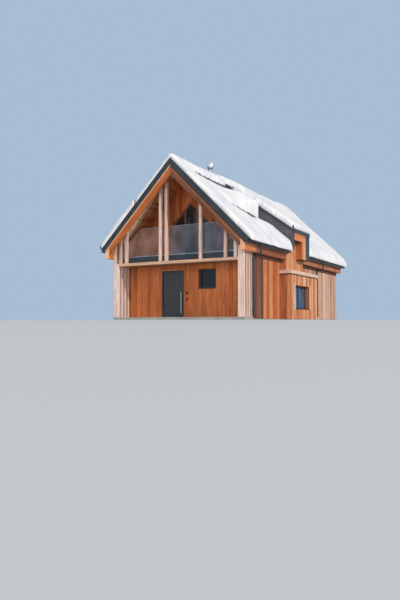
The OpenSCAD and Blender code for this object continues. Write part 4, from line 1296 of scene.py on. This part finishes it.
@dataclass
class Roofing:
    """Seams of the roof sheets, slates on the dormer cheeks, verge laps, gutter straps and pipe rings."""

    seam_pitch: float = 0.43
    seam_w: float = 0.014
    seam_h: float = 0.028
    course: float = 0.2
    slate_w: float = 0.3
    strap_t: float = 0.004
    strap_half: float = 0.014
    pipe_x: float = 3.367
    pipes_y: tuple[float, ...] = (-5.53, 2.65)
    rings_z: tuple[float, ...] = (0.42, 1.3, 2.2)

    def seams(self) -> None:
        """Upright seams that run down each slope from the ridge to the eave."""
        solids = Solids()
        main = np.arange(-H.verge_y + 0.2, H.verge_y - 0.1, self.seam_pitch)
        right = main[(main < H.dormer_y0 - 0.05) | (main > H.dormer_y1 + 0.05)]
        over = np.linspace(H.dormer_y0 + 0.012, H.dormer_y1 - 0.012, 4)
        lift = self.seam_h / 2 * ROOT_2 * 0.5
        for side, y, roof, up, xs in ((-1.0, main, H.top, lift, (0.06, H.tip_x - 0.01)),
                                      (1.0, right, H.top, lift, (0.06, H.tip_x - 0.01)),
                                      (1.0, over, H.dormer_top, 0.01, (0.4, H.edge_x - 0.07))):
            starts, ends = (np.stack([side * np.full_like(y, x), y, roof(np.full_like(y, x)) + up], axis=1)
                            for x in xs)
            solids.bars(starts, ends, Y, self.seam_w, self.seam_h, 0.003)
        solids.make("roof_seams", ROOF_METAL, "slate")

    def slates(self) -> None:
        """Slates on both dormer cheeks: courses of small plates, thicker at the foot, cut to the slopes."""
        rng = np.random.default_rng(31)
        solids = Solids()
        for plane, end in ((front(H.dormer_y0), H.hood_x), (rear(H.dormer_y1), H.tip_x)):
            for row, z in enumerate(np.arange(3.0, 6.6, self.course)):
                start = 0.9 + (row % 2) * self.slate_w / 2
                edges = np.append(np.arange(start, end - 0.05, self.slate_w), end)
                ends = np.stack([edges[:-1], edges[1:]], axis=1)
                foot = np.maximum(np.maximum(H.top(ends) - 0.01, H.wing_z + 0.0156), z)
                head = np.minimum(H.dormer_under(ends) - 0.004, z + self.course - 0.004)
                keep = (head - foot).max(axis=1) > 0.03
                if keep.any():
                    strips = np.concatenate([ends, foot, np.maximum(head, foot + 0.001)], axis=1)[keep]
                    tone = rng.uniform(0.2, 0.9, len(strips))
                    solids.boards(plane, strips, 0.012, 0.002, 0.004, tone, rng.random(len(strips)),
                                  taper=0.006)
        solids.make("cheek_slates", SLATE, "slate")

    def trims(self) -> None:
        """Dark strips along the dormer roof over both cheeks, and lap plates on the verge trims."""
        solids = Solids()
        ends = np.array([0.02, H.edge_x - 0.01])
        strips = np.array([[*ends, *H.dormer_under(ends), *(H.dormer_top(ends) + 0.004)]])
        for plane in (front(H.dormer_y0), rear(H.dormer_y1)):
            solids.boards(plane, strips, 0.018)
        for plane in (front(-H.trim_y), rear(H.trim_y)):
            for side in (-1.0, 1.0):
                x = side * np.array([0.9, 2.1, 3.3])
                edges = np.sort(np.stack([x - 0.03, x + 0.03], axis=1), axis=1)
                foot, head = H.roof_under_z + 0.004 - np.abs(edges), H.top(edges) - 0.004
                solids.boards(plane, np.concatenate([edges, foot, head], axis=1), 0.003, 0.001)
        solids.make("edge_flashings", DARK_METAL, "dark_metal")

    def straps(self) -> None:
        """Straps and end plates of the gutters: arcs round the gutter's middle, carried along Y."""
        solids = Solids()
        angle = np.linspace(-math.pi, 0.0, 11)
        arc = np.stack([np.cos(angle), np.sin(angle)], axis=1)
        middle = np.array((H.gutter_x, H.gutter_z))
        path = middle + (H.gutter_r + 0.0035) * arc
        band = np.stack([path, path + self.strap_t * arc, path + self.strap_t * arc, path], axis=1)
        plate = middle + H.gutter_r * arc
        for side, y0, y1 in SLOPES:
            y = np.linspace(y0 + 0.15, y1 - 0.15, max(2, round((y1 - y0) / 0.75)))
            rings = np.empty((len(y), len(angle), 4, 3))
            rings[..., 0], rings[..., 2] = side * band[..., 0], band[..., 1]
            rings[..., 1] = y[:, None, None] + self.strap_half * np.array([-1.0, -1.0, 1.0, 1.0])
            solids.rings(rings)
            for y_end in (y0 + 0.002, y1 - 0.006):
                solids.profile(plate * (side, 1.0), 1, y_end, y_end + self.strap_t)
        solids.make("gutter_straps", DARK_METAL, "dark_metal")

    def pipes(self) -> None:
        """Funnels over the downpipes and rings on them."""
        solids = Solids()
        funnel = ((0.0, 0.046), (0.02, 0.05), (0.05, 0.05), (0.09, 0.045), (0.1, 0.043))
        ring = ((0.0, 0.043), (0.004, 0.047), (0.036, 0.047), (0.04, 0.043))
        for side in (-1.0, 1.0):
            for y in self.pipes_y:
                solids.turned((side * H.gutter_x, y, H.gutter_z - H.gutter_r + 0.012), DOWN, funnel)
                for z in self.rings_z:
                    solids.turned((side * self.pipe_x, y, z), Z, ring)
        solids.make("pipe_rings", DARK_METAL, "dark_metal", smooth=True)

    def build(self) -> None:
        """All the metal and slate of the roof."""
        for part in (self.seams, self.slates, self.trims, self.straps, self.pipes):
            part()


@dataclass
class SnowField:
    """A sheet of snow on a slope: side, span along Y, edge, the roof line under it and its thickness."""

    side: float
    y0: float
    y1: float
    edge_x: float
    base: Line
    thickness: Callable[[Array, Array], Array]
    nose: float = 0.13
    fall: float = 1.0
    lean: Callable[[Array, Array], Array] | None = None
    cell: float = 0.045

    def add_to(self, solids: Solids) -> None:
        """Adds the sheet as one closed surface.

        The top is the roof line plus the upright thickness, a function of x and y on a grid. A round nose
        joins it at the eave to the underside, which lies on the roof. Where the thickness is nothing, top
        and underside meet, and their faces are left out, so that the roof shows. The lean moves the top down
        the slope by a share of the thickness.

        Args:
            solids: Where it is added.
        """
        rows, columns = int(self.edge_x / self.cell) + 1, int((self.y1 - self.y0) / self.cell) + 1
        y = np.linspace(self.y0, self.y1, columns)
        gx, gy = np.meshgrid(np.linspace(0.0, self.edge_x, rows), y, indexing="ij")
        v = np.maximum(self.thickness(gx, gy), 0.0)
        low = self.base(gx) + 0.001
        turn = np.linspace(0.0, math.pi, 9)[1:-1][:, None]
        reach = self.nose * np.minimum(v[-1] / 0.2, 1.2) * np.sin(turn)
        nose_x = self.edge_x + reach * 0.75
        nose_z = low[-1] + v[-1] * (0.5 + 0.5 * np.cos(turn)) - reach * 0.6 * self.fall
        top_x = gx if self.lean is None else gx + self.lean(gx, gy) * v
        sheet_x = np.concatenate([top_x, nose_x, gx[::-1]])
        sheet_y = np.concatenate([gy, np.broadcast_to(y, nose_x.shape), gy[::-1]])
        sheet_z = np.concatenate([low + v, nose_z, low[::-1]])
        thick = np.concatenate([v, np.broadcast_to(v[-1], nose_x.shape), v[::-1]])
        total = len(sheet_x)
        index = np.arange(total * columns).reshape(total, columns)
        quads = np.stack([index[:-1, :-1], index[:-1, 1:], index[1:, 1:], index[1:, :-1]],
                         axis=-1).reshape(-1, 4)
        quads = quads[thick.ravel()[quads].max(axis=1) > 0.0]
        sides = (np.stack([index[:rows - 1, c], index[1:rows, c], index[total - 2:total - rows - 1:-1, c],
                           index[total - 1:total - rows:-1, c]], axis=-1) for c in (0, columns - 1))
        first, last = sides
        ridge = np.stack([index[0, :-1], index[-1, :-1], index[-1, 1:], index[0, 1:]], axis=-1)
        faces = [quads, first, last[:, ::-1], ridge]
        if self.side < 0:
            faces = [part[:, ::-1] for part in faces]
        faces[3] = faces[3][:, ::-1]
        solids.add(np.stack([self.side * sheet_x, sheet_y, sheet_z], axis=-1), faces)


@dataclass
class RoofSnow:
    """Snow on both slopes and the dormer, with cracks that bare the roof, a notch and a piled foot.

    Each crack lists the y of its stations, and at them the x of its middle and its half width.
    """

    depth: float = 0.25
    crest_r: float = 0.1
    notch_x: float = 1.84
    flue: tuple[float, float] = (0.42, -2.35)
    upper_crack: tuple[tuple[float, ...], ...] = (
        (-5.9, -5.3, -4.6, -3.6, -2.6, -1.2, -0.5, -0.2), (0.28, 0.33, 0.4, 0.47, 0.5, 0.52, 0.52, 0.52),
        (0.0, 0.09, 0.1, 0.11, 0.12, 0.13, 0.11, 0.0))
    lower_crack: tuple[tuple[float, ...], ...] = (
        (-5.3, -4.9, -4.4, -4.0, -3.6, -3.3, -3.0, -2.6, -2.2),
        (1.66, 1.76, 1.9, 1.97, 2.02, 2.05, 2.1, 2.18, 2.26),
        (0.0, 0.08, 0.11, 0.15, 0.14, 0.09, 0.13, 0.13, 0.1))

    def cover(self, x: Array, y: Array, seed: int, extra: float) -> Array:
        """Uneven thickness: the depth, a bell along Y by the dormer, three sizes of hills and a round crest.

        The crest takes off the root of x squared plus r squared, less x.

        Args:
            x: Distances from the ridge.
            y: Places along it.
            seed: Which hills.
            extra: What is added everywhere.

        Returns:
            The upright thickness.
        """
        hills = (0.035 * smooth_noise(x * 0.7, y * 0.5, seed)
                 + 0.02 * smooth_noise(x * 2.1, y * 1.7, seed + 1)
                 + 0.008 * smooth_noise(x * 6.0, y * 6.0, seed + 2))
        swell = 0.06 * np.exp(-(((y + 1.0) / 1.6) ** 2))
        return self.depth + extra + swell + hills - (np.sqrt(x * x + self.crest_r**2) - x)

    def rounded(self, distance: Array, radius: float) -> Array:
        """Round edge: a quarter circle from 0 at the edge to 1 a radius inside it."""
        share = np.clip(distance / radius, 0.0, 1.0)
        return np.sqrt(np.maximum(1.0 - (1.0 - share) ** 2, 0.0))

    def verge(self, x: Array, y: Array, seed: int, radius: float = 0.09) -> Array:
        """Round edges over both verges, a little ragged."""
        return self.rounded(H.trim_y - np.abs(y) + 0.02 * smooth_noise(x * 4.0, y * 0.0 + 3.3, seed), radius)

    def crack(self, x: Array, y: Array, line: Sequence[Sequence[float]], seed: int,
              steep: float = 0.1) -> Array:
        """A bare streak: 0 in it, and 1 a little outside.

        Its middle and half width are straight between the line's stations, and its width is uneven.

        Args:
            x: Distances from the ridge.
            y: Places along it.
            line: The stations' y, x and half widths.
            seed: Which unevenness.
            steep: How far above the streak the snow is whole; below it, it takes 0.6.

        Returns:
            What the thickness is multiplied by.
        """
        centre = np.interp(y, line[0], line[1])
        width = np.interp(y, line[0], line[2], left=0.0, right=0.0)
        width = width * (1.0 + 0.3 * smooth_noise(x * 0.0 + 1.7, y * 3.0, seed))
        above = smooth_step(centre - width - x, 0.0, steep)
        below = smooth_step(x - centre - width, 0.0, 0.6)
        return 1.0 - smooth_step(width, 0.004, 0.02) * (1.0 - np.maximum(above, below))

    def left(self, x: Array, y: Array) -> Array:
        """Left slope: a notch at the front verge, deeper snow below it, and open round the flue.

        Args:
            x: Distances from the ridge.
            y: Places along it.

        Returns:
            The upright thickness.
        """
        v = self.cover(x, y, 40, 0.03)
        near = smooth_step(-5.3 - y, 0.0, 1.2)
        v = v + near * 0.09 * smooth_step(x, 1.86, 2.0) * smooth_step(4.4 - x, 0.0, 2.2)
        notch = smooth_step(np.abs(x - self.notch_x) - 0.05, 0.0, 0.05)
        v = v * (1.0 - (1.0 - notch) * smooth_step(-6.2 - y, 0.0, 0.2))
        hole = np.hypot(x - self.flue[0], y - self.flue[1])
        return v * self.verge(x, y, 44, 0.06) * self.rounded(hole - 0.13, 0.12)

    def tongue(self, y: Array) -> Array:
        """How near a place is to the tongue of snow that piles up against the top of the front cheek."""
        return smooth_step(y, -3.9, -2.4)

    def lean(self, x: Array, y: Array) -> Array:
        """The tongue's tip leans down the slope: a share of its thickness."""
        return 0.3 * self.tongue(y) * smooth_step(x, 1.5, 1.9) * smooth_step(2.15 - x, 0.0, 0.05)

    def right_front(self, x: Array, y: Array) -> Array:
        """Right slope before the dormer: two cracks, a tongue at the cheek's top and a slab at its foot.

        Args:
            x: Distances from the ridge.
            y: Places along it.

        Returns:
            The upright thickness.
        """
        v = self.cover(x, y, 50, 0.0)
        tongue = np.interp(x, (0.7, 1.0, 1.5, 1.9, 2.0, 2.1, 2.2), (0.2, 0.36, 0.57, 0.6, 0.58, 0.52, 0.4))
        v = v + self.tongue(y) * np.maximum(tongue - v, 0.0)
        slab = np.interp(x, (2.2, 2.5, 2.91, 3.25, 3.71), (0.2, 0.29, 0.35, 0.38, 0.45))
        mound = np.exp(-(((y + 2.3) / 0.45) ** 2)) * smooth_step(x, 2.1, 2.3)
        v = v + mound * (slab + 0.02 * smooth_noise(x * 1.5, y * 1.5, 53) - v)
        v = v - 0.12 * smooth_step(x, 2.2, 3.0) * np.exp(-(((y + 3.6 + 0.5 * (x - 2.2)) / 0.4) ** 2))
        v = v * self.crack(x, y, self.upper_crack, 51) * self.crack(x, y, self.lower_crack, 54, 0.17)
        return v * self.verge(x, y, 55) * self.rounded(H.dormer_y0 - 0.015 - y, 0.12)

    def right_rear(self, x: Array, y: Array) -> Array:
        """Right slope behind the dormer: deep and plump, rounded against the cheek."""
        v = self.cover(x, y, 60, 0.06) + 0.06 * smooth_step(x, 1.5, 3.2)
        return v * self.verge(x, y, 61) * self.rounded(y - H.dormer_y1 - 0.02, 0.22)

    def dormer(self, x: Array, y: Array) -> Array:
        """Dormer roof: deep, with a ragged edge over the front cheek; the upper crack runs on across it.

        Args:
            x: Distances from the ridge.
            y: Places along it.

        Returns:
            The upright thickness.
        """
        v = self.cover(x, y, 70, 0.03) * self.crack(x, y, self.upper_crack, 51)
        ragged = 0.05 * smooth_noise(x * 5.0, y * 0.0 + 1.1, 71)
        ragged = ragged + 0.02 * smooth_noise(x * 14.0, y * 0.0 + 2.1, 72)
        front_edge = self.rounded(y - H.dormer_y0 + 0.03 + ragged, 0.09)
        return v * front_edge * self.rounded(H.dormer_y1 + 0.02 - y, 0.12)

    def build(self) -> None:
        """Both pieces of snow."""
        eave, gap = H.tip_x - 0.03, 0.02
        right = (SnowField(1.0, -H.trim_y, H.dormer_y0 - 0.015, eave, H.top, self.right_front, 0.17, 1.7,
                           self.lean),
                 SnowField(1.0, H.dormer_y1 + gap, H.trim_y, eave, H.top, self.right_rear, 0.18, 1.7),
                 SnowField(1.0, H.dormer_y0 - 0.03, H.dormer_y1 + gap, H.edge_x - 0.03, H.dormer_top,
                           self.dormer, 0.12, 0.7))
        left = (SnowField(-1.0, -H.trim_y, H.trim_y, eave, H.top, self.left),)
        for side, fields in (("left", left), ("right", right)):
            solids = Solids()
            for sheet in fields:
                sheet.add_to(solids)
            self.close(solids.make(f"{side}_snow", SNOW, "snow", f"snow_{side}", smooth=True))

    def close(self, piece: bpy.types.Object) -> None:
        """Merges the points where top and underside meet, and turns every face outwards.

        Args:
            piece: The snow to mend.
        """
        work = bmesh.new()
        work.from_mesh(piece.data)
        bmesh.ops.remove_doubles(work, verts=work.verts, dist=1e-4)
        bmesh.ops.dissolve_degenerate(work, edges=work.edges, dist=1e-5)
        bmesh.ops.recalc_face_normals(work, faces=work.faces)
        work.to_mesh(piece.data)
        work.free()


# Windows, door and fittings


@dataclass(frozen=True)
class Opening:
    """A window: the outer face of its boards, its sides, sill and head, and its upright bars."""

    plane: Plane
    start: float
    end: float
    low: float
    high: float
    bars: tuple[float, ...] = ()
    setback: float = 0.13


@dataclass
class Windows:
    """Timber reveals, drip sills, glazing beads and bars of every window."""

    boards: float = 0.02
    reveal_t: float = 0.014
    frame_w: float = 0.04
    bead_w: float = 0.024
    bar_half: float = 0.035
    gable_apex: float = 5.241
    gable_sill: float = 2.83
    gable_panes: tuple[tuple[float, float], ...] = ((-1.18, -0.335), (-0.265, 0.265), (0.335, 1.18))
    jambs_y: tuple[tuple[float, float], ...] = ((-2.05, -1.932), (0.052, 0.17))
    jambs_z: tuple[float, float] = (0.48, 1.68)

    def openings(self) -> list[Opening]:
        """Lists every window with a rectangular opening.

        Returns:
            The openings.
        """
        return [
            Opening(front(H.entrance_y), *PORCH_WINDOW),
            Opening(flank(H.bay_x), *BAY_WINDOW, (sum(BAY_WINDOW[:2]) / 2,), 0.19),
            *[Opening(flank(-H.side_x), *sides) for sides in LEFT_WINDOWS],
            *[Opening(rear(H.rear_y), *sides, (sum(sides[:2]) / 2,)) for sides in REAR_WINDOWS],
        ]

    def bar(self, solids: Solids, plane: Plane, sides: tuple[float, float, float, float], n0: float,
            n1: float, tone: float = 0.5) -> None:
        """Adds a bar in a window's plane.

        Args:
            solids: Where it is added.
            plane: The window's plane.
            sides: Its start, foot, end and head.
            n0: Depth of its back.
            n1: Depth of its face.
            tone: Its tone.
        """
        u0, v0, u1, v1 = sides
        strips = np.array([[u0, u1, v0, v0, v1, v1]])
        solids.boards(plane, strips, n1 - n0, tone=tone, shift=(u0 * 7.1 + v0 * 3.3) % 1.0, back=n0)

    def build(self) -> None:
        """Reveals in timber, sills in sheet metal, and beads and bars in frame paint."""
        reveals, sills, beads, jambs = (Solids() for _ in range(4))
        t, w, bead = self.reveal_t, self.frame_w, self.bead_w
        for o in self.openings():
            n0, n1, a, b = -o.setback, self.boards + 0.004, o.start + t, o.end - t
            self.bar(reveals, o.plane, (o.start, o.low, a, o.high), n0, n1, 0.45)
            self.bar(reveals, o.plane, (b, o.low, o.end, o.high), n0, n1, 0.55)
            self.bar(reveals, o.plane, (a, o.high - t, b, o.high), n0, n1, 0.35)
            slope = np.array([(n0, 0.034), (n1 + 0.03, 0.014), (n1 + 0.03, -0.012), (n1 + 0.02, -0.012),
                              (n1 + 0.02, 0.004), (n0, 0.024)])
            rings = np.stack([o.plane.place(np.full(6, u), o.low + slope[:, 1], slope[:, 0]) for u in (a, b)])
            sills.rings(rings[None])
            g0, g1, a, b, low, high = n0 - 0.028, n0 - 0.004, o.start + w, o.end - w, o.low + w, o.high - w
            for sides in ((a, low, a + bead, high), (b - bead, low, b, high),
                          (a + bead, low, b - bead, low + bead), (a + bead, high - bead, b - bead, high)):
                self.bar(beads, o.plane, sides, g0, g1)
            for u in o.bars:
                sides = (u - self.bar_half, low + bead, u + self.bar_half, high - bead)
                self.bar(beads, o.plane, sides, g0, g1 + 0.008)
        low, high = self.jambs_z
        for a, b in self.jambs_y:
            self.bar(jambs, flank(H.bay_x), (a, low, b, high), 0.0205, 0.036, 0.55)
        reveals.make("window_reveals", LARCH, "larch_boards")
        jambs.make("bay_jambs", PALE_UPRIGHT, "pale_larch")
        sills.make("window_sills", DARK_METAL, "dark_metal")
        beads.make("window_beads", FRAME_PAINT, "window_frame")
        self.gable()

    def gable(self) -> None:
        """Slim dark beads along the edges of the three gable panes and a dark sill."""
        beads = Solids()
        plane, n0, n1, w, top = front(H.gable_y), -0.05, -0.026, 0.02, gabled(self.gable_apex)
        low = self.gable_sill
        for a, b in self.gable_panes:
            for u in (a, b - w):
                beads.boards(plane, np.array([[u, u + w, low, low, *top(np.array([u, u + w]))]]), n1 - n0,
                             back=n0)
            self.bar(beads, plane, (a + w, low, b - w, low + w), n0, n1)
            cuts = sorted({a + w, b - w, 0.0}) if a < 0 < b else [a + w, b - w]
            for ends in zip(cuts[:-1], cuts[1:]):
                head = top(np.array(ends))
                beads.boards(plane, np.array([[*ends, *(head - 0.028), *head]]), n1 - n0, back=n0)
        beads.make("gable_beads", FRAME_PAINT, "window_frame")


@dataclass
class Fittings:
    """Door furniture, glass rail fittings, lamp and fixture lenses, and the flue's bands, cap and snow.

    Each clamp row is its x and, where it has an upper clamp, that one's height.
    """

    leaf_x: tuple[float, float] = (-1.165, -0.153)
    leaf_y: float = -5.36
    sill_x: tuple[float, float] = (-1.179, -0.139)
    sill_y: float = -5.385
    sill_z: float = 0.1245
    head_x: tuple[float, float] = (-1.27, -0.05)
    head_y: float = -5.43
    head_z: float = 2.222
    lock_x: float = -0.269
    lock_z: tuple[float, float] = (1.14, 1.05)
    rail_y: float = -6.15
    rail_z: float = 4.086
    rail_foot_z: float = 2.836
    rail_w: float = 0.034
    rail_end: float = 1.93
    channel_end: float = 2.95
    rail_posts: tuple[float, float] = (-0.46, 1.26)
    rail_gap: float = 0.005
    slope_top: tuple[float, float] = (1.944, 4.083)
    slope_foot: tuple[float, float] = (2.953, 3.074)
    clamp_y: float = -6.125
    clamp_z: float = 2.95
    clamp_rows: tuple[tuple[float, ...], ...] = (
        (-2.52,), (-0.865, 3.96), (-0.36, 3.96), (1.16, 3.96), (1.36, 3.96), (2.345, 3.55), (2.545, 3.35))
    fixture_x: float = 0.102
    fixture_y: float = -5.435
    fixtures_z: tuple[float, float] = (0.91, 1.19)
    lamp: Point = (0.0, -6.44, 6.155)
    flue_x: float = -0.42
    flue_y: float = -2.35
    cowl_z: float = 7.5556
    bands_z: tuple[float, float] = (7.0, 7.3)

    def door(self) -> None:
        """Lock rose and cylinder under the pull, a drip bar on the leaf, a threshold and a head strip."""
        lock, drip, sill, head = (Solids() for _ in range(4))
        for z in self.lock_z:
            lock.turned((self.lock_x, self.leaf_y, z), FORWARD,
                        ((0.0, 0.026), (0.006, 0.026), (0.009, 0.022)))
        lock.turned((self.lock_x, self.leaf_y - 0.008, self.lock_z[1]), FORWARD,
                    ((0.0, 0.009), (0.008, 0.009)), 16)
        lock.make("door_lock", STEEL, "steel", body="door")
        y = self.leaf_y
        drip.profile([(y, 0.15), (y - 0.03, 0.142), (y - 0.03, 0.134), (y, 0.134)], 0, *self.leaf_x)
        drip.make("door_drip_bar", DARK_METAL, "door_paint", body="door")
        sill.bars(*((x, self.sill_y, self.sill_z) for x in self.sill_x), Y, 0.05, 0.009)
        sill.make("door_threshold", STEEL, "steel")
        head.bars(*((x, self.head_y, self.head_z) for x in self.head_x), Y, 0.02, 0.016, tone=0.7)
        head.make("door_head_strip", PALE_X, "pale_larch")

    def rail(self) -> None:
        """A slim rail on the panes, a channel at their foot, and round clamps between glass and posts."""
        metal, clamps = Solids(), Solids()
        y, w = self.rail_y, self.rail_w
        marks = [post + gap for post in self.rail_posts for gap in (-self.rail_gap, self.rail_gap)]
        for end, z, width, depth in ((self.rail_end, self.rail_z, w, 0.014),
                                     (self.channel_end, self.rail_foot_z, 0.04, 0.03)):
            cuts = [-end, *marks, end]
            for a, b in zip(cuts[::2], cuts[1::2]):
                metal.bars((a, y, z), (b, y, z), Y, width, depth)
        (xa, za), (xb, zb) = self.slope_top, self.slope_foot
        for side in (-1.0, 1.0):
            metal.bars((side * xa, y, za), (side * xb, y, zb), Y, w, 0.016)
        metal.make("rail_channels", STEEL, "steel")
        for x, *tops in self.clamp_rows:
            for z in (self.clamp_z, *tops):
                centre = (x, self.clamp_y, z)
                clamps.turned(centre, FORWARD, ((0.0, 0.026), (0.05, 0.026), (0.056, 0.018)), 20)
        clamps.make("rail_clamps", STEEL, "steel")

    def lights(self) -> None:
        """Raised rings on the two round fixtures, and the lamp's round opal lens."""
        rings, lens = Solids(), Solids()
        for z in self.fixtures_z:
            rings.turned((self.fixture_x, self.fixture_y, z), FORWARD,
                         ((0.0, 0.047), (0.012, 0.044), (0.012, 0.034), (0.004, 0.032)), 32)
        rings.make("fixture_rings", BLACK, "black_fitting")
        lens.turned(self.lamp, FORWARD, ((0.0, 0.028), (0.008, 0.028), (0.018, 0.02), (0.022, 0.008)))
        lens.make("lamp_lens", LENS, "black_fitting", smooth=True)

    def flue(self) -> None:
        """Bands round the flue, a cone under its cowl and a cap of snow on top, round as a flat dome."""
        x, y, top = self.flue_x, self.flue_y, self.cowl_z
        bands, snow = Solids(), Solids()
        for z in self.bands_z:
            bands.turned((x, y, z), Z, ((0.0, 0.09), (0.004, 0.096), (0.026, 0.096), (0.03, 0.09)), 28)
        bands.turned((x, y, top - 0.1), Z, ((0.0, 0.091), (0.09, 0.15), (0.1, 0.15)), 28)
        bands.make("flue_bands", FLUE_METAL, "flue_metal")
        dome = [(0.03 + 0.15 * math.sin(a), 0.1 * math.cos(a) ** 0.7 + 0.002)
                for a in np.linspace(0.0, math.pi / 2, 8)]
        snow.turned((x, y, top + 0.061), Z, [(0.0, 0.15), *dome], 28, 0.5)
        snow.make("flue_snow", SNOW, "snow", smooth=True)

    def build(self) -> None:
        """All the small fittings."""
        for part in (self.door, self.rail, self.lights, self.flue):
            part()


# Stage


@dataclass
class Stage:
    """A pale floor that falls away from the house, a pale surround, two suns and the camera.

    Each sun is its name, strength, angle, azimuth and height.
    """

    floor_colour: str = "d6d8dc"
    surround: str = "a8bed4"
    fill: float = 0.45
    suns: tuple[tuple[str, float, float, float, float], ...] = (
        ("key", 2.0, 2.0, 76.0, 25.0), ("front", 1.3, 50.0, 12.0, 8.0))
    flat_r: float = 9.5
    bend_r: float = 28.0
    edge_r: float = 90.0
    floor_z: float = -0.003
    lens: float = 34.44
    stand: Point = (13.2074, -27.1386, -0.0644)
    pitch: float = 2.13
    yaw: float = 29.83

    def floor(self) -> None:
        """A disc, level under the house and falling with the square of the distance beyond it."""
        radius = np.concatenate([np.linspace(0.0, self.flat_r, 5)[1:],
                                 np.linspace(self.flat_r, self.edge_r, 60)[1:]])
        angle = np.linspace(0.0, 2.0 * math.pi, 96, endpoint=False)
        gr, ga = np.meshgrid(radius, angle, indexing="ij")
        past = np.maximum(gr - self.flat_r, 0.0)
        bend, rest = np.minimum(past, self.bend_r), np.maximum(past - self.bend_r, 0.0)
        height = self.floor_z - 0.0024 * bend**2 - 0.13 * rest
        disc = np.stack([gr * np.cos(ga), gr * np.sin(ga), height], axis=-1).reshape(-1, 3)
        index = 1 + np.arange(gr.size).reshape(gr.shape)
        after = np.roll(index, -1, axis=1)
        quads = np.stack([index[:-1], index[1:], after[1:], after[:-1]], axis=-1).reshape(-1, 4)
        middle = np.stack([np.zeros_like(index[0]), index[0], after[0]], axis=-1)
        mesh = bpy.data.meshes.new("floor")
        points = np.concatenate([[[0.0, 0.0, self.floor_z]], disc])
        mesh.from_pydata(points, [], [*quads.tolist(), *middle.tolist()])
        mesh.shade_smooth()
        floor = bpy.data.objects.new("floor", mesh)
        bpy.context.scene.collection.objects.link(floor)
        made = bpy.data.materials.new("pale_floor")
        made.use_nodes = True
        shader = made.node_tree.nodes["Principled BSDF"]
        shader.inputs["Base Color"].default_value = shades(self.floor_colour)[0]
        shader.inputs["Roughness"].default_value = 0.9
        mesh.materials.append(made)

    def light(self) -> None:
        """A sun from the right, a very soft one from the front, and a surround seen in glass and metal."""
        for name, energy, spread, azimuth, height in self.suns:
            data = bpy.data.lights.new(name, "SUN")
            data.energy = energy
            data.angle = math.radians(spread)
            data.color = (1.0, 0.97, 0.93)
            lamp = bpy.data.objects.new(name, data)
            lamp.rotation_euler = (math.pi / 2 - math.radians(height), 0.0, math.radians(azimuth))
            bpy.context.scene.collection.objects.link(lamp)
        world = bpy.data.worlds.new("surround")
        bpy.context.scene.world = world
        world.use_nodes = True
        graph = Graph(world.node_tree)
        back = world.node_tree.nodes["Background"]
        path = graph.add("ShaderNodeLightPath").outputs
        seen = graph.plus(path["Is Camera Ray"], path["Is Glossy Ray"], True)
        seen = graph.plus(seen, path["Is Transmission Ray"], True)
        graph.feed(back.inputs["Color"], graph.blend(seen, (0.93, 0.96, 1.0, 1.0), shades(self.surround)[0]))
        graph.feed(back.inputs["Strength"], graph.plus(graph.times(seen, 1.0 - self.fill), self.fill))

    def camera(self) -> None:
        """The camera, where the photograph's lines put it."""
        data = bpy.data.cameras.new("camera")
        data.lens = self.lens
        data.sensor_width = 36.0
        data.clip_end = 400.0
        camera = bpy.data.objects.new("camera", data)
        camera.location = self.stand
        camera.rotation_euler = (math.radians(90.0 + self.pitch), 0.0, math.radians(self.yaw))
        bpy.context.scene.collection.objects.link(camera)
        bpy.context.scene.camera = camera

    def build(self) -> None:
        """Floor, light and camera."""
        for part in (self.floor, self.light, self.camera):
            part()
        bpy.context.scene.view_settings.view_transform = "Standard"


def write_sizes() -> None:
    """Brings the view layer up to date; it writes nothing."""
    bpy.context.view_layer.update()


def main() -> None:
    """Builds the stage, the boards, the roof, the snow and the fittings, in that order."""
    logging.basicConfig(level=logging.INFO, format="%(message)s")
    dress_nodes()
    for part in (Stage(), Cladding(), Screens(), Eaves(), Hood(), Roofing(), RoofSnow(), Windows(),
                 Fittings()):
        part.build()
    write_sizes()


if __name__ == "__main__":
    main()
